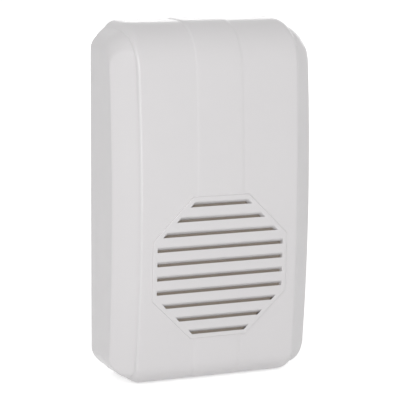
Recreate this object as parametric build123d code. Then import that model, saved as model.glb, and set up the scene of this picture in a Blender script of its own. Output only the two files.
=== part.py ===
from build123d import *
import math
import os

# Doorbell chime box for a wall, in millimetres. The back lies against the wall, the front looks
# along -Y, +Z is up. Pieces are drawn from the wall plane and moved at the end, so that the
# origin lies below the middle of the box. "Distance" always means distance from the wall.

# The box
height = 150.0
width = 89.0
depth = 35.0
wall = 2.2
gap = 0.3                     # round a moulded piece that drops into another
touch = 0.05                  # between pieces that lie on each other
overrun = 1.0                 # how far a cut runs past the face it opens

# Main body of the front: crowned from top to bottom, flat from side to side
front_inset = 9.0
back_inset = 6.0
top_radius = 20.0
bottom_radius = 10.0
crown_radius = 590.0
crown_share = 0.518             # height of the crown's middle, as a share of the box's
body_corner = 3.5
body_edge = 0.7

# Flanks beside the main body
shoulder_drop = 2.8
shoulder_lift = 2.5
shoulder_step = 0.8
shoulder_top_radius = 18.5
shoulder_bottom_radius = 8.5
flank_depth = 25.2
flank_bulge = 0.9
flank_corner = 7.0

# Central band and grille
band_width = 20.0
band_rise = 0.35
band_edge = 0.3
pad_across = 60.0
pad_rise = 0.7
pad_edge = 0.3
grille_height = 49.5
slot_count = 10
slot_pitch = 6.0
slot_height = 2.0
slot_margin = 2.0
cloth_border = 1.0
cloth_thickness = 0.4

# Case screws and the posts that they go into
screw_inset = 8.0
screw_low = 13.0
screw_drop = 12.5
post_radius = 3.2
pilot_radius = 1.25
pilot_length = 12.0
screw_radius = 1.2
screw_length = 11.0
screw_head = 2.8
screw_head_height = 1.5
recess_width = 0.6
recess_length = 3.0
recess_depth = 0.9
rib_thickness = 1.2
rib_height = 1.1
rib_pitch = 17.0
rib_low = 98.0
rib_count = 3

# Back plate, keyholes
plate_thickness = 2.0
keyhole_across = 66.0
keyhole_height = 112.0
keyhole_radius = 4.0
keyhole_slot = 2.1
keyhole_rise = 6.0
keyhole_rim = 1.2
keyhole_rim_height = 1.0

# Battery bay, cells and door
cell_count = 3
cell_radius = 7.25
cell_length = 50.5
cell_gap = 0.7
nub_radius = 2.75
nub_height = 1.3
cell_edge = 0.5
bay_low = 84.5
bay_wall = 1.5
spring_space = 5.2
contact_thickness = 0.4
contact_width = 11.0
contact_depth = 12.0
contact_play = 0.15
tab_width = 3.0
cradle_width = 5.0
cradle_height = 3.2
door_thickness = 1.8
door_clearance = 0.5
door_lap = 1.5
ledge_thickness = 1.5
hinge_radius = 1.6
hinge_pin = 0.9
hinge_pin_length = 1.2
hinge_play = 0.05
tongue_width = 12.0
tongue_length = 8.0
tongue_slot = 1.0
nose_height = 1.2
nose_reach = 0.15
nose_catch = 0.8
groove_count = 5
groove_pitch = 1.8
groove_width = 0.8
groove_depth = 0.4

# Contact springs: one wire, wound as a cone
spring_wire = 0.7
spring_base = 4.2
spring_tip = 2.7
spring_turns = 2.5

# Loudspeaker
speaker_radius = 33.0
speaker_seat_margin = 1.0
well_wall = 1.4
gasket_thickness = 0.5
basket_sheet = 0.8
flange_inner = 29.0
basket_depth = 8.8
ledge_rise = 1.6
ledge_inner = 15.0
ledge_outer = 18.0
window_count = 4
window_inner = 19.2
window_outer = 27.4
window_degrees = 62.0
top_plate_radius = 16.0
top_plate_thickness = 2.0
top_plate_bore = 7.6
magnet_radius = 18.0
magnet_bore = 9.5
magnet_thickness = 5.5
yoke_radius = 16.5
yoke_thickness = 2.0
pole_radius = 6.4
coil_inner = 6.65
coil_former = 0.25
coil_winding = 0.3
coil_winding_length = 3.0
cone_sheet = 0.4
cone_outer = 25.6
cone_clearance = 0.5
cone_bow = 0.9
surround_lap = 1.2
surround_rise = 1.2
surround_sheet = 0.3
spider_sheet = 0.3
spider_waves = 3
spider_wave_height = 0.5
cap_radius = 9.0
cap_rise = 2.4
board_tab_width = 12.0
board_tab_depth = 8.5
board_tab_place = 23.6
terminal_width = 14.0
terminal_depth = 7.5
terminal_thickness = 1.2
tag_width = 2.4
tag_length = 6.0
tag_thickness = 0.4
tag_across = 7.6
clamp_count = 3
clamp_post_radius = 2.4
clamp_place = 37.2
clamp_width = 6.0
clamp_thickness = 0.8
clamp_lap = 3.0
clamp_screw_length = 4.0
clamp_screw_head = 2.2
clamp_screw_head_height = 1.3
clamp_pilot = 0.9
clamp_screw = 0.85

# Main circuit board, its posts and screws
board_left = -31.0
board_right = 37.0
board_low = 86.5
board_high = 133.5
board_thickness = 1.6
board_corner = 1.5
board_post_gap = 2.0
board_post_radius = 2.8
board_post_across = 56.0
board_post_low = 90.5
board_post_high = 129.5
board_pilot = 0.9
board_screw = 0.85
board_screw_length = 6.0
board_screw_head = 2.0
board_screw_head_height = 1.3

# Parts on the circuit board
sound_chip_size = (10.0, 7.5, 2.2)
sound_chip_place = (14.0, 108.0)
sound_chip_legs = 7
amplifier_chip_size = (5.0, 4.0, 1.6)
amplifier_chip_place = (-2.0, 95.0)
amplifier_chip_legs = 4
leg_width = 0.5
leg_reach = 1.0
leg_pitch = 1.27
leg_thickness = 0.25
crystal_size = (11.0, 4.6)
crystal_height = 3.4
crystal_rim = 0.6
crystal_rim_height = 0.5
crystal_place = (14.0, 119.0)
capacitor_radius = 3.0
capacitor_height = 6.0
capacitor_edge = 0.4
capacitor_groove = 0.3
capacitor_places = ((-16.0, 92.5), (-9.0, 92.5), (28.0, 104.0))
small_part_size = (2.0, 1.25, 0.6)
small_part_pitch = 3.0
small_part_columns = 4
small_part_rows = 3
small_part_place = (6.0, 92.0)

# Radio receiver board
radio_left = -29.0
radio_right = -3.0
radio_low = 102.0
radio_high = 116.0
radio_thickness = 1.0
radio_standoff = 2.5
header_pin = 0.6
header_count = 4
header_pitch = 2.54
header_margin = 1.6
radio_chip_size = (5.0, 4.0, 1.5)
radio_chip_place = (-10.0, 110.0)
radio_chip_legs = 4
tuning_coil_size = 5.0
tuning_coil_height = 4.0
tuning_coil_place = (-20.0, 109.5)
tuning_core_radius = 1.5
tuning_core_depth = 1.0

# Aerial coil on the circuit board
aerial_wire = 0.6
aerial_radius = 2.3
aerial_turns = 5
aerial_pitch = 1.7
aerial_lift = 0.6
aerial_place = (-8.0, 124.5)

# Volume slide switch and its slider in the side wall
volume_height = 119.0
switch_distance = 17.3
switch_body_depth = 6.6
volume_body_length = 13.0
volume_body_width = 6.4
lever_width = 2.0
lever_travel = 2.0
lever_root = 1.2
lever_tip = 1.2
lever_play = 0.1
slider_grip_length = 5.0
slider_grip_width = 3.2
slider_plate_length = 15.0
slider_plate_width = 6.4
slider_plate_thickness = 1.4
slider_play = 0.15
slider_sink = 0.2
slider_groove = 0.4
slider_rail = 1.2
slider_lip = 0.7
slider_lip_thickness = 0.8

# Tune button in the side wall
button_height = 99.0
button_body = 6.0
button_body_width = 3.6
plunger_radius = 1.6
plunger_root = 1.0
button_radius = 2.9
button_play = 0.1
button_flange = 4.2
button_flange_thickness = 1.0
button_travel = 1.0
button_sink = 0.1
button_dome = 0.5

# Leads: the wire, how far it keeps from the loudspeaker, and their places on the board
lead_radius = 0.55
lead_clearance = 0.8
lead_start = 1.4
minus_pad = (-22.0, 89.4)
plus_pad = (20.0, 131.4)
speaker_pads = ((-4.8, 89.0), (4.8, 89.0))

# Places that follow from the sizes above
body_reach = depth - pad_rise
body_height = height - band_rise
front_width = width - 2 * front_inset
back_width = width - 2 * back_inset
crown_height = crown_share * height
screw_across = width - 2 * screw_inset
screw_high = height - screw_drop
crown_centre = body_reach - crown_radius
slot_across = pad_across - 2 * slot_margin
pocket_across = slot_across + 2 * cloth_border
corner_share = 1 / math.cos(math.pi / 8)
well_radius = corner_share * pocket_across / 2
bay_width = cell_count * 2 * cell_radius + (cell_count + 1) * cell_gap
bay_length = cell_length + spring_space + 2 * contact_thickness
bay_high = bay_low + bay_length
cell_distance = door_thickness + door_clearance + cell_radius
bay_floor = cell_distance + cell_radius + gap
bay_front = bay_floor + bay_wall
board_back = bay_front + board_post_gap
board_front = board_back + board_thickness
door_high = bay_high + door_lap
door_low = bay_low - door_lap
hinge_height = door_high - hinge_radius - gap
cell_step = 2 * cell_radius + cell_gap
side_view = Plane(origin=(0, 0, 0), x_dir=(0, -1, 0), z_dir=(-1, 0, 0))
right_side = width / 2
speaker_x = 0
slider_inside = right_side - wall - slider_play
slider_back = slider_inside - slider_plate_thickness


def front_view(distance):
    """Plane seen from the front: x to the right, y up, at a distance from the wall."""
    return Plane.XZ.offset(distance)


def plan_view(x, level):
    """Plane whose x runs to the right of a point and whose y is the distance from the wall."""
    return Plane(origin=(x, 0, level), x_dir=(1, 0, 0), z_dir=(0, 0, -1))


def slab(sketch, near, far):
    """Solid of a front view sketch between two distances from the wall."""
    return extrude(front_view(near) * sketch, far - near)


def rod(radius, x, level, near, far):
    return slab(Pos(x, level) * Circle(radius), near, far)


def tube(outer, inner, x, level, near, far):
    return slab(Pos(x, level) * (Circle(outer) - Circle(inner)), near, far)


def lathe(points, x, level):
    """Turned solid on an axis square to the wall, from (radius, distance) points."""
    face = make_face(Polyline(*points, close=True))
    return turned(face, x, level)


def turned(face, x, level):
    return revolve(plan_view(x, level) * face, Axis((x, 0, level), (0, -1, 0)))


def box_between(low, high):
    """Box between two corners given as (x, distance, height)."""
    middle = [(a + b) / 2 for a, b in zip(low, high)]
    size = [b - a for a, b in zip(low, high)]
    return Pos(middle[0], -middle[1], middle[2]) * Box(*size)


def octagon(across):
    return Pos(speaker_x, grille_height) * RegularPolygon(across / 2, 8, major_radius=False, rotation=22.5)


def crown_layer(sketch, near, far):
    """Solid of a front view sketch between two surfaces that follow the crown of the front."""
    ring = Circle(far - crown_centre) - Circle(near - crown_centre)
    layer = extrude(side_view * (Pos(crown_centre, crown_height) * ring), width, both=True)
    return slab(sketch, near - body_reach / 2, depth + overrun) & layer


# Outside form of the box, also drawn in by an inset for its inside


def side_profile(low, high, reach, upper_radius, lower_radius, back):
    """Side view with the crowned front: x is the distance from the wall, y the height."""
    crown = Pos(crown_centre, crown_height) * Circle(reach - crown_centre)
    block = Pos((back + depth) / 2, (low + high) / 2) * Rectangle(depth - back, high - low)
    profile = crown & block
    upper = profile.vertices().sort_by(Axis.X)[-2:].sort_by(Axis.Y)[-1]
    profile = fillet(upper, upper_radius)
    lower = profile.vertices().group_by(Axis.Y)[0].sort_by(Axis.X)[-1]
    return fillet(lower, lower_radius)


def rounded_sides(body, radius):
    """Rounds both rims of a body's left and right faces, apart from the straight back edges."""
    sides = body.faces().sort_by(Axis.X)
    rims = sides[0].edges().sort_by(Axis.Y)[:-1] + sides[-1].edges().sort_by(Axis.Y)[:-1]
    return fillet(rims, radius)


def main_body(inset, back):
    """Crowned body, narrower at the front than at the wall, with rounded upper and lower corners."""
    profile = side_profile(inset, body_height - inset, body_reach - inset,
                           top_radius - inset, bottom_radius - inset, back)
    block = extrude(side_view * profile, back_width, both=True)
    slope = (back_width - front_width) / body_reach
    ends = [(d, (back_width - slope * d) / 2 - inset) for d in (back, depth)]
    corners = [(side * half, -d) for d, half in ends for side in (1, -1)]
    plan = make_face(Polyline(corners[0], corners[2], corners[3], corners[1], close=True))
    body = block & (Pos(0, 0, -overrun) * extrude(plan, height + 2 * overrun))
    if inset == 0:
        body = rounded_sides(body, body_edge)
    corner = max(body_corner - inset, body_edge)
    tall = body_height - 2 * inset
    outlines = [front_view(d) * (Pos(0, body_height / 2) * RectangleRounded(2 * half, tall, corner))
                for d, half in ends]
    return body & loft(outlines, ruled=True)


def flank_outline(inset, back):
    """Plan of the flanks: side walls, then a bowed slope in to the foot of the main body."""
    foot = (front_width / 2 - body_edge, body_reach - shoulder_step)
    rim = (width / 2, flank_depth)
    run = math.hypot(rim[0] - foot[0], foot[1] - rim[1])
    middle = ((foot[0] + rim[0]) / 2 + flank_bulge * (foot[1] - rim[1]) / run,
              (foot[1] + rim[1]) / 2 + flank_bulge * (rim[0] - foot[0]) / run)
    behind = back - inset
    outline = make_face([
        Line((-rim[0], behind), (-rim[0], rim[1])),
        ThreePointArc((-rim[0], rim[1]), (-middle[0], middle[1]), (-foot[0], foot[1])),
        Line((-foot[0], foot[1]), foot),
        ThreePointArc(foot, middle, rim),
        Line(rim, (rim[0], behind)),
        Line((rim[0], behind), (-rim[0], behind)),
    ])
    return offset(outline, -inset) if inset else outline


def flank_body(inset, back):
    """Wider, lower body behind the main one. Its slopes follow the crown, its corners are round."""
    profile = side_profile(shoulder_lift + inset, body_height - shoulder_drop - inset,
                           body_reach - shoulder_step - inset, shoulder_top_radius - inset,
                           shoulder_bottom_radius - inset, back)
    block = extrude(side_view * profile, width / 2 - inset, both=True)
    block = rounded_sides(block, flank_corner - inset)
    axis = Axis((0, -crown_centre, crown_height), (1, 0, 0))
    half_turn = math.degrees(math.atan(height / -crown_centre))
    outline = (plan_view(0, crown_height) * flank_outline(inset, back)).rotate(axis, -half_turn)
    return block & revolve(outline, axis, 2 * half_turn)


def box_form(inset=0, back=0):
    return main_body(inset, back) + flank_body(inset, back)


def central_band():
    profile = side_profile(0, height, body_reach + band_rise, top_radius + band_rise, bottom_radius, 0)
    return rounded_sides(extrude(side_view * profile, band_width / 2, both=True), band_edge)


def crown_distance(reach, level):
    """Distance from the wall of a surface that follows the crown, at a height."""
    return crown_centre + math.sqrt((reach - crown_centre) ** 2 - (level - crown_height) ** 2)


seat_distance = (crown_distance(body_reach - wall, grille_height - speaker_radius - gap)
                 - speaker_seat_margin)
flange_front = seat_distance - gasket_thickness
flange_back = flange_front - basket_sheet
screw_places = [(side * screw_across / 2, level) for side in (-1, 1) for level in (screw_low, screw_high)]
clamp_angles = [90 + turn * 360 / clamp_count for turn in range(clamp_count)]
board_post_places = [(side * board_post_across / 2, level) for side in (-1, 1)
                     for level in (board_post_low, board_post_high)]
cell_places = [(turn - (cell_count - 1) / 2) * cell_step for turn in range(cell_count)]


def around_speaker(angle, radius):
    turn = math.radians(angle)
    return speaker_x + radius * math.cos(turn), grille_height + radius * math.sin(turn)


# Front cover


def slot_sketch():
    """Level slots across an octagon, so that the outer ones get ends at 45 degrees."""
    first = grille_height - slot_pitch * (slot_count - 1) / 2
    field = octagon(slot_across)
    stripes = [Pos(speaker_x, first + slot_pitch * turn) * Rectangle(slot_across + overrun, slot_height)
               for turn in range(slot_count)]
    return Sketch() + [field & stripe for stripe in stripes]


def grille_pad():
    pad = crown_layer(octagon(pad_across), body_reach - wall, depth)
    rim = pad.faces().sort_by(Axis.Y)[0].edges()
    return fillet(rim, pad_edge)


def speaker_well():
    """Seat ring and locating ring behind the grille, and the posts of the clamps."""
    outer = speaker_radius + gap + well_wall
    seat = tube(outer, well_radius, speaker_x, grille_height, seat_distance, depth)
    rim = tube(outer, speaker_radius + gap, speaker_x, grille_height, flange_back, depth)
    posts = [rod(clamp_post_radius, *around_speaker(angle, clamp_place), flange_back, depth)
             for angle in clamp_angles]
    return [seat, rim] + posts


def cover_ribs():
    """Webs from the screw posts to the side walls, and low ribs across the upper front."""
    webs = []
    for x, level in screw_places:
        end = math.copysign(width / 2, x)
        webs.append(box_between((min(x, end), bay_front, level - rib_thickness / 2),
                                (max(x, end), depth, level + rib_thickness / 2)))
    across = front_width - 4 * wall
    ribs = [crown_layer(Pos(0, rib_low + turn * rib_pitch) * Rectangle(across, rib_thickness),
                        body_reach - wall - rib_height, body_reach - wall / 2) for turn in range(rib_count)]
    return webs + ribs


def slider_rails():
    """Two rails with lips on the inside of the side wall, in which the volume slider runs."""
    inside = right_side - wall
    lip_front = slider_back - slider_play
    lip_back = lip_front - slider_lip_thickness
    half = slider_plate_length / 2 + lever_travel
    rails = []
    for side in (-1, 1):
        near = switch_distance + side * (slider_plate_width / 2 + slider_play)
        far = near + side * slider_rail
        edge = near - side * slider_lip
        rails.append(box_between((lip_back, min(near, far), volume_height - half),
                                 (inside + wall / 2, max(near, far), volume_height + half)))
        rails.append(box_between((lip_back, min(edge, far), volume_height - half),
                                 (lip_front, max(edge, far), volume_height + half)))
    return rails


def side_openings():
    """Slot of the volume slider and round hole of the tune button, through the right wall."""
    across = Plane(origin=(right_side - wall - overrun, 0, 0), x_dir=(0, -1, 0), z_dir=(1, 0, 0))
    slot = Rectangle(slider_grip_width + 2 * slider_play,
                     slider_grip_length + 2 * lever_travel + 2 * slider_play)
    sketch = Pos(switch_distance, -volume_height) * slot
    sketch += Pos(switch_distance, -button_height) * Circle(button_radius + button_play)
    return extrude(across * sketch, wall + 2 * overrun)


def front_cover():
    shell = box_form() + central_band() + grille_pad() - box_form(wall, -overrun)
    shell -= crown_layer(octagon(pocket_across), body_reach - 2 * wall, depth - wall)
    posts = [rod(post_radius, x, level, plate_thickness, depth) for x, level in screw_places]
    inside = box_form(wall / 2, -overrun)
    fittings = Part() + (posts + speaker_well() + cover_ribs() + slider_rails())
    shell += fittings & inside
    shell -= crown_layer(octagon(pocket_across), seat_distance - overrun, depth - wall)
    shell -= Part() + [rod(pilot_radius, x, level, 0, plate_thickness + pilot_length)
                       for x, level in screw_places]
    shell -= Part() + [rod(clamp_pilot, *around_speaker(angle, clamp_place), 0,
                           flange_back + clamp_screw_length) for angle in clamp_angles]
    shell -= side_openings()
    return shell - slab(slot_sketch(), seat_distance, depth + overrun)


def grille_cloth():
    outline = octagon(pocket_across - 2 * gap)
    return crown_layer(outline, depth - wall - cloth_thickness, depth - wall)


# Screws


def turned_screw(x, level, seat, way, head_radius, head_height, radius, length, countersunk):
    """Screw with its head at a seat and a cross recess. Way is 1 when driven away from the wall."""
    if countersunk:
        head = [(0, 0), (head_radius, 0), (radius, head_height)]
    else:
        crown = head_height / 3
        head = [(0, -head_height), (head_radius - crown, -head_height),
                (head_radius, crown - head_height), (head_radius, 0), (radius, 0)]
    points = head + [(radius, length - 2 * radius), (0, length)]
    body = lathe([(r, seat + way * along) for r, along in points], x, level)
    top = 0 if countersunk else -head_height
    across = recess_length * head_radius / screw_head
    deep = recess_depth * head_height / screw_head_height
    cross = Rectangle(across, recess_width) + Rectangle(recess_width, across)
    cut = sorted((seat + way * (top - overrun), seat + way * (top + deep)))
    return body - slab(Pos(x, level) * cross, *cut)


def case_screws():
    return [turned_screw(x, level, 0, 1, screw_head, screw_head_height, screw_radius,
                         plate_thickness + screw_length, True) for x, level in screw_places]


def clamp_screws():
    return [turned_screw(*around_speaker(angle, clamp_place), flange_back - clamp_thickness, 1,
                         clamp_screw_head, clamp_screw_head_height, clamp_screw,
                         clamp_screw_length, False) for angle in clamp_angles]


def board_screws():
    return [turned_screw(x, level, board_front, -1, board_screw_head, board_screw_head_height,
                         board_screw, board_screw_length, False) for x, level in board_post_places]


# Back plate with the battery bay


def bay_slab(margin, near, far):
    """Block as wide and tall as the bay, with a margin on each side."""
    outline = Rectangle(bay_width + 2 * margin, bay_length + 2 * margin)
    return slab(Pos(0, (bay_low + bay_high) / 2) * outline, near, far)


def keyhole(margin=0):
    round_part = Pos(0, keyhole_height) * Circle(keyhole_radius + margin)
    slot = Pos(0, keyhole_height + keyhole_rise / 2) * Rectangle(2 * (keyhole_slot + margin), keyhole_rise)
    end = Pos(0, keyhole_height + keyhole_rise) * Circle(keyhole_slot + margin)
    shape = round_part + slot + end
    return Sketch() + [Pos(side * keyhole_across / 2, 0) * shape for side in (-1, 1)]


def cell_cradles():
    """Hollowed ridges between the cells on the floor of the bay."""
    ridges = []
    reach = bay_length - 2 * contact_depth
    for left, right in zip(cell_places, cell_places[1:]):
        ridge = slab(Pos((left + right) / 2, (bay_low + bay_high) / 2) * Rectangle(cradle_width, reach),
                     bay_floor - cradle_height, bay_floor + bay_wall / 2)
        for x in (left, right):
            ridge -= Pos(x, -cell_distance, 0) * Cylinder(cell_radius + gap, 2 * height)
        ridges.append(ridge)
    return ridges


def lead_contact_places():
    """Left cell's lower end and right cell's upper end carry the leads."""
    return [(cell_places[0], bay_low, 1), (cell_places[-1], bay_high, -1)]


def link_contact_places():
    return [((cell_places[1] + cell_places[2]) / 2, bay_low, 1),
            ((cell_places[0] + cell_places[1]) / 2, bay_high, -1)]


def contact_box(x, level, side, across, margin):
    """Thin plate against an end wall of the bay, or its pocket with a margin."""
    inner = level + side * contact_thickness
    return box_between((x - across / 2 - margin, cell_distance - contact_depth / 2 - margin, min(level, inner)),
                       (x + across / 2 + margin, cell_distance + contact_depth / 2 + margin,
                        max(level, inner)))


def tab_box(x, level, side, margin):
    inner = level + side * (contact_thickness + margin)
    return box_between((x - tab_width / 2 - margin, cell_distance, min(level, inner)),
                       (x + tab_width / 2 + margin, board_back - gap, max(level, inner)))


def contact_guides():
    """Low rails on the end walls of the bay, beside each contact plate."""
    guides = []
    link_width = cell_step + contact_width
    for places, across in ((lead_contact_places(), contact_width), (link_contact_places(), link_width)):
        for x, level, side in places:
            inner = level + side * contact_thickness
            for edge in (-1, 1):
                start = x + edge * (across / 2 + contact_play)
                end = start + edge * (cell_step - contact_width - 4 * contact_play) / 2
                guides.append(box_between((min(start, end), cell_distance, min(level, inner)),
                                          (max(start, end), bay_floor, max(level, inner))))
    return guides


def latch_pocket():
    """Room for the nose of the door's tongue, behind the lower edge of the door's opening."""
    half = tongue_width / 2 + gap
    far = door_thickness + nose_height + gap
    opening = box_between((-half, door_thickness, door_low), (half, far, bay_low + overrun))
    catch = box_between((-half, plate_thickness, door_low - nose_catch), (half, far, bay_low))
    return opening + catch


def hinge_bores():
    """Blind bores for the door's pins, in the plate at both sides of the door."""
    reach = bay_width + 2 * door_lap + 2 * (hinge_pin_length + gap)
    return Pos(0, -hinge_radius, hinge_height) * Rot(0, 90, 0) * Cylinder(hinge_pin + hinge_play, reach)


def back_plate():
    form = box_form(wall + gap, -overrun)
    plate = form & slab(Rectangle(3 * width, 3 * height), 0, plate_thickness)
    lap = door_lap + 2 * hinge_pin_length
    plate += bay_slab(lap, plate_thickness / 2, door_thickness + ledge_thickness) & form
    plate += bay_slab(bay_wall, plate_thickness / 2, bay_front)
    plate -= bay_slab(0, -overrun, bay_floor)
    plate -= bay_slab(door_lap, -overrun, door_thickness + gap / 2)
    barrel = slab(Pos(0, hinge_height) * Rectangle(bay_width + 2 * door_lap, 2 * (hinge_radius + gap)),
                  -overrun, 2 * hinge_radius + gap)
    plate -= barrel
    plate -= latch_pocket()
    plate += Part() + cell_cradles()
    plate += Part() + contact_guides()
    plate -= Part() + [tab_box(*place, contact_play) for place in lead_contact_places()]
    plate -= hinge_bores()
    plate += slab(keyhole(keyhole_rim), plate_thickness / 2, plate_thickness + keyhole_rim_height)
    plate -= slab(keyhole(), -overrun, plate_thickness + keyhole_rim_height + overrun)
    plate += Part() + [rod(board_post_radius, x, level, plate_thickness / 2, board_back)
                       for x, level in board_post_places]
    pilot = board_back - board_screw_length
    plate -= Part() + [rod(board_pilot, x, level, pilot, board_back + overrun)
                       for x, level in board_post_places]
    cone = [(0, -overrun), (screw_head + gap / 2, -overrun), (screw_head + gap / 2, 0),
            (screw_radius + gap / 2, screw_head_height), (screw_radius + gap / 2, plate_thickness + overrun),
            (0, plate_thickness + overrun)]
    plate -= Part() + [lathe(cone, x, level) for x, level in screw_places]
    return plate


def battery_door():
    """Door with a round upper edge that turns on two pins, and a latch tongue cut free below."""
    across = bay_width + 2 * door_lap - 2 * gap
    low = door_low + gap
    panel = slab(Pos(0, (low + hinge_height) / 2) * Rectangle(across, hinge_height - low), 0, door_thickness)
    barrel = Pos(0, -hinge_radius, hinge_height) * Rot(0, 90, 0) * Cylinder(hinge_radius, across)
    pins = Pos(0, -hinge_radius, hinge_height) * Rot(0, 90, 0) * Cylinder(hinge_pin, across + 2 * hinge_pin_length)
    door = panel + barrel + pins
    for side in (-1, 1):
        x = side * (tongue_width + tongue_slot) / 2
        slit = Pos(x, low + tongue_length / 2) * Rectangle(tongue_slot, tongue_length)
        door -= slab(slit, -overrun, door_thickness + overrun)
    nose = box_between((-tongue_width / 2, door_thickness / 2, low - nose_reach),
                       (tongue_width / 2, door_thickness + nose_height, low + nose_height))
    nose = chamfer(nose.edges().filter_by(Axis.X).sort_by(Axis.Y)[:2], nose_height / 3)
    first = low + tongue_length + groove_pitch
    grooves = [slab(Pos(0, first + turn * groove_pitch) * SlotOverall(tongue_width, groove_width),
                    -overrun, groove_depth) for turn in range(groove_count)]
    return door + nose - (Part() + grooves)


# Cells and contacts


def battery_cell(x, upwards):
    """Cell with its rounded ends and its contact nub, seated on the contact of its plus end."""
    nub_edge = cell_edge / 2
    half = make_face(Polyline(
        (0, 0), (cell_radius - cell_edge, 0), (cell_radius, cell_edge),
        (cell_radius, cell_length - nub_height - cell_edge),
        (cell_radius - cell_edge, cell_length - nub_height), (nub_radius, cell_length - nub_height),
        (nub_radius, cell_length - nub_edge), (nub_radius - nub_edge, cell_length), (0, cell_length),
        close=True))
    cell = revolve(Plane.XZ * half, Axis.Z)
    if upwards:
        return Pos(x, -cell_distance, bay_high - contact_thickness - cell_length) * cell
    return Pos(x, -cell_distance, bay_low + contact_thickness + cell_length) * Rot(180, 0, 0) * cell


def battery_cells():
    return [battery_cell(x, turn % 2 == 0) for turn, x in enumerate(cell_places)]


def lead_contacts():
    """Single plates, each with a tab through the floor of the bay for a lead."""
    return [contact_box(*place, contact_width, 0) + tab_box(*place, 0) for place in lead_contact_places()]


def link_contacts():
    across = cell_step + contact_width
    return [contact_box(*place, across, 0) for place in link_contact_places()]


def biarc(start, start_way, end, end_way):
    """Two arcs from one point and direction to another, tangent where they meet."""
    chord = end - start
    sum_way = start_way + end_way
    along = chord.dot(sum_way)
    spread = 2 * (1 - start_way.dot(end_way))
    reach = (math.sqrt(along * along + spread * chord.dot(chord)) - along) / spread
    joint = (start + end + (start_way - end_way) * reach) * 0.5
    joint_way = (joint - start - start_way * reach).normalized()
    return [Edge.make_tangent_arc(start, start_way, joint), Edge.make_tangent_arc(joint, joint_way, end)]


def wound_wire(place, start_radius, end_radius, length, turns, wire_radius, legs):
    """One unbroken wire, wound round the plane's normal with level ends, in pairs of arcs."""
    steps = int(round(2 * turns))
    points, ways = [], []
    for step_number in range(steps + 1):
        share = step_number / steps
        angle = math.pi * step_number
        radius = start_radius + (end_radius - start_radius) * share
        swing = (end_radius - start_radius) / (math.pi * steps)
        rise = length / (math.pi * steps)
        if step_number in (0, steps):
            swing, rise = 0, 0
        points.append(place.from_local_coords(Vector(radius * math.cos(angle), radius * math.sin(angle),
                                                     length * share)))
        way = Vector(swing * math.cos(angle) - radius * math.sin(angle),
                     swing * math.sin(angle) + radius * math.cos(angle), rise)
        ways.append((place.from_local_coords(way) - place.from_local_coords(Vector(0, 0, 0))).normalized())
    edges = []
    if legs:
        edges.append(Edge.make_line(points[0] - ways[0] * legs, points[0]))
    for turn in range(steps):
        edges += biarc(points[turn], ways[turn], points[turn + 1], ways[turn + 1])
    if legs:
        edges.append(Edge.make_line(points[-1], points[-1] + ways[-1] * legs))
    path = Wire(edges)
    section = Plane(origin=path @ 0, z_dir=path % 0) * Circle(wire_radius)
    return sweep(section, path), path


def least_gap(path, wire_radius, turns):
    """Least distance between the surfaces of neighbouring turns, measured on points of the path."""
    count = int(24 * turns)
    points = [path @ (number / count) for number in range(count + 1)]
    apart = int(0.6 * count / turns)
    return min((points[i] - points[j]).length for i in range(count) for j in range(i + apart, count + 1)) \
        - 2 * wire_radius


def contact_springs():
    """A cone spring for each minus end, from its contact plate to the cell."""
    springs = []
    length = spring_space - spring_wire - 2 * touch
    for turn, x in enumerate(cell_places):
        upwards = turn % 2 == 0
        level = bay_low + contact_thickness if upwards else bay_high - contact_thickness
        way = 1 if upwards else -1
        start = level + way * (spring_wire / 2 + touch)
        place = Plane(origin=(x, -cell_distance, start), x_dir=(1, 0, 0), z_dir=(0, 0, way))
        spring, path = wound_wire(place, spring_base, spring_tip, length, spring_turns, spring_wire / 2, 0)
        springs.append(spring)
    print("contact spring, least gap between turns", round(least_gap(path, spring_wire / 2, spring_turns), 2))
    return springs


# Loudspeaker

basket_base = flange_front - basket_depth
gap_top = basket_base - basket_sheet
magnet_front = gap_top - top_plate_thickness
magnet_back = magnet_front - magnet_thickness
ledge_front = basket_base + ledge_rise
coil_outer = coil_inner + coil_former + coil_winding
spider_distance = ledge_front
cone_neck = spider_distance + spider_sheet + spider_wave_height + cone_clearance
cone_rim = flange_front - cone_sheet


def basket_back(radius):
    """Distance of the back of the basket's slope at a radius."""
    inner = ledge_outer + basket_sheet / 2
    share = (radius - inner) / (flange_inner - ledge_outer)
    return ledge_front - basket_sheet + share * (flange_back - ledge_front + basket_sheet)


def basket_profile(shift):
    """Front surface of the pressed basket, or its back when shifted by the sheet's thickness."""
    return [(top_plate_bore + shift, basket_base - shift), (ledge_inner - shift / 2, basket_base - shift),
            (ledge_inner + shift / 2, ledge_front - shift), (ledge_outer + shift / 2, ledge_front - shift),
            (flange_inner + shift / 2, flange_front - shift), (speaker_radius, flange_front - shift)]


def window_sketch():
    wedge = make_face(Polyline((0, 0), *[(2 * window_outer * math.cos(math.radians(angle)),
                                          2 * window_outer * math.sin(math.radians(angle)))
                                         for angle in (-window_degrees / 2, window_degrees / 2)], close=True))
    window = wedge & (Circle(window_outer) - Circle(window_inner))
    step_angle = 360 / window_count
    return Sketch() + [Rot(0, 0, step_angle * (turn + 0.5)) * window for turn in range(window_count)]


def speaker_frame():
    points = basket_profile(0) + basket_profile(basket_sheet)[::-1]
    frame = lathe(points, speaker_x, grille_height)
    frame -= slab(Pos(speaker_x, grille_height) * window_sketch(), gap_top, flange_front + overrun)
    side = grille_height + board_tab_place
    far = flange_back - basket_sheet
    tab = box_between((-board_tab_width / 2, far - board_tab_depth, side),
                      (board_tab_width / 2, far, side + basket_sheet))
    behind = [(0, 0), (speaker_radius, 0), (speaker_radius, flange_back), (flange_inner, flange_back),
              (ledge_outer, ledge_front - basket_sheet / 2), (0, ledge_front - basket_sheet / 2)]
    return frame + (tab & lathe(behind, speaker_x, grille_height))


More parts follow.
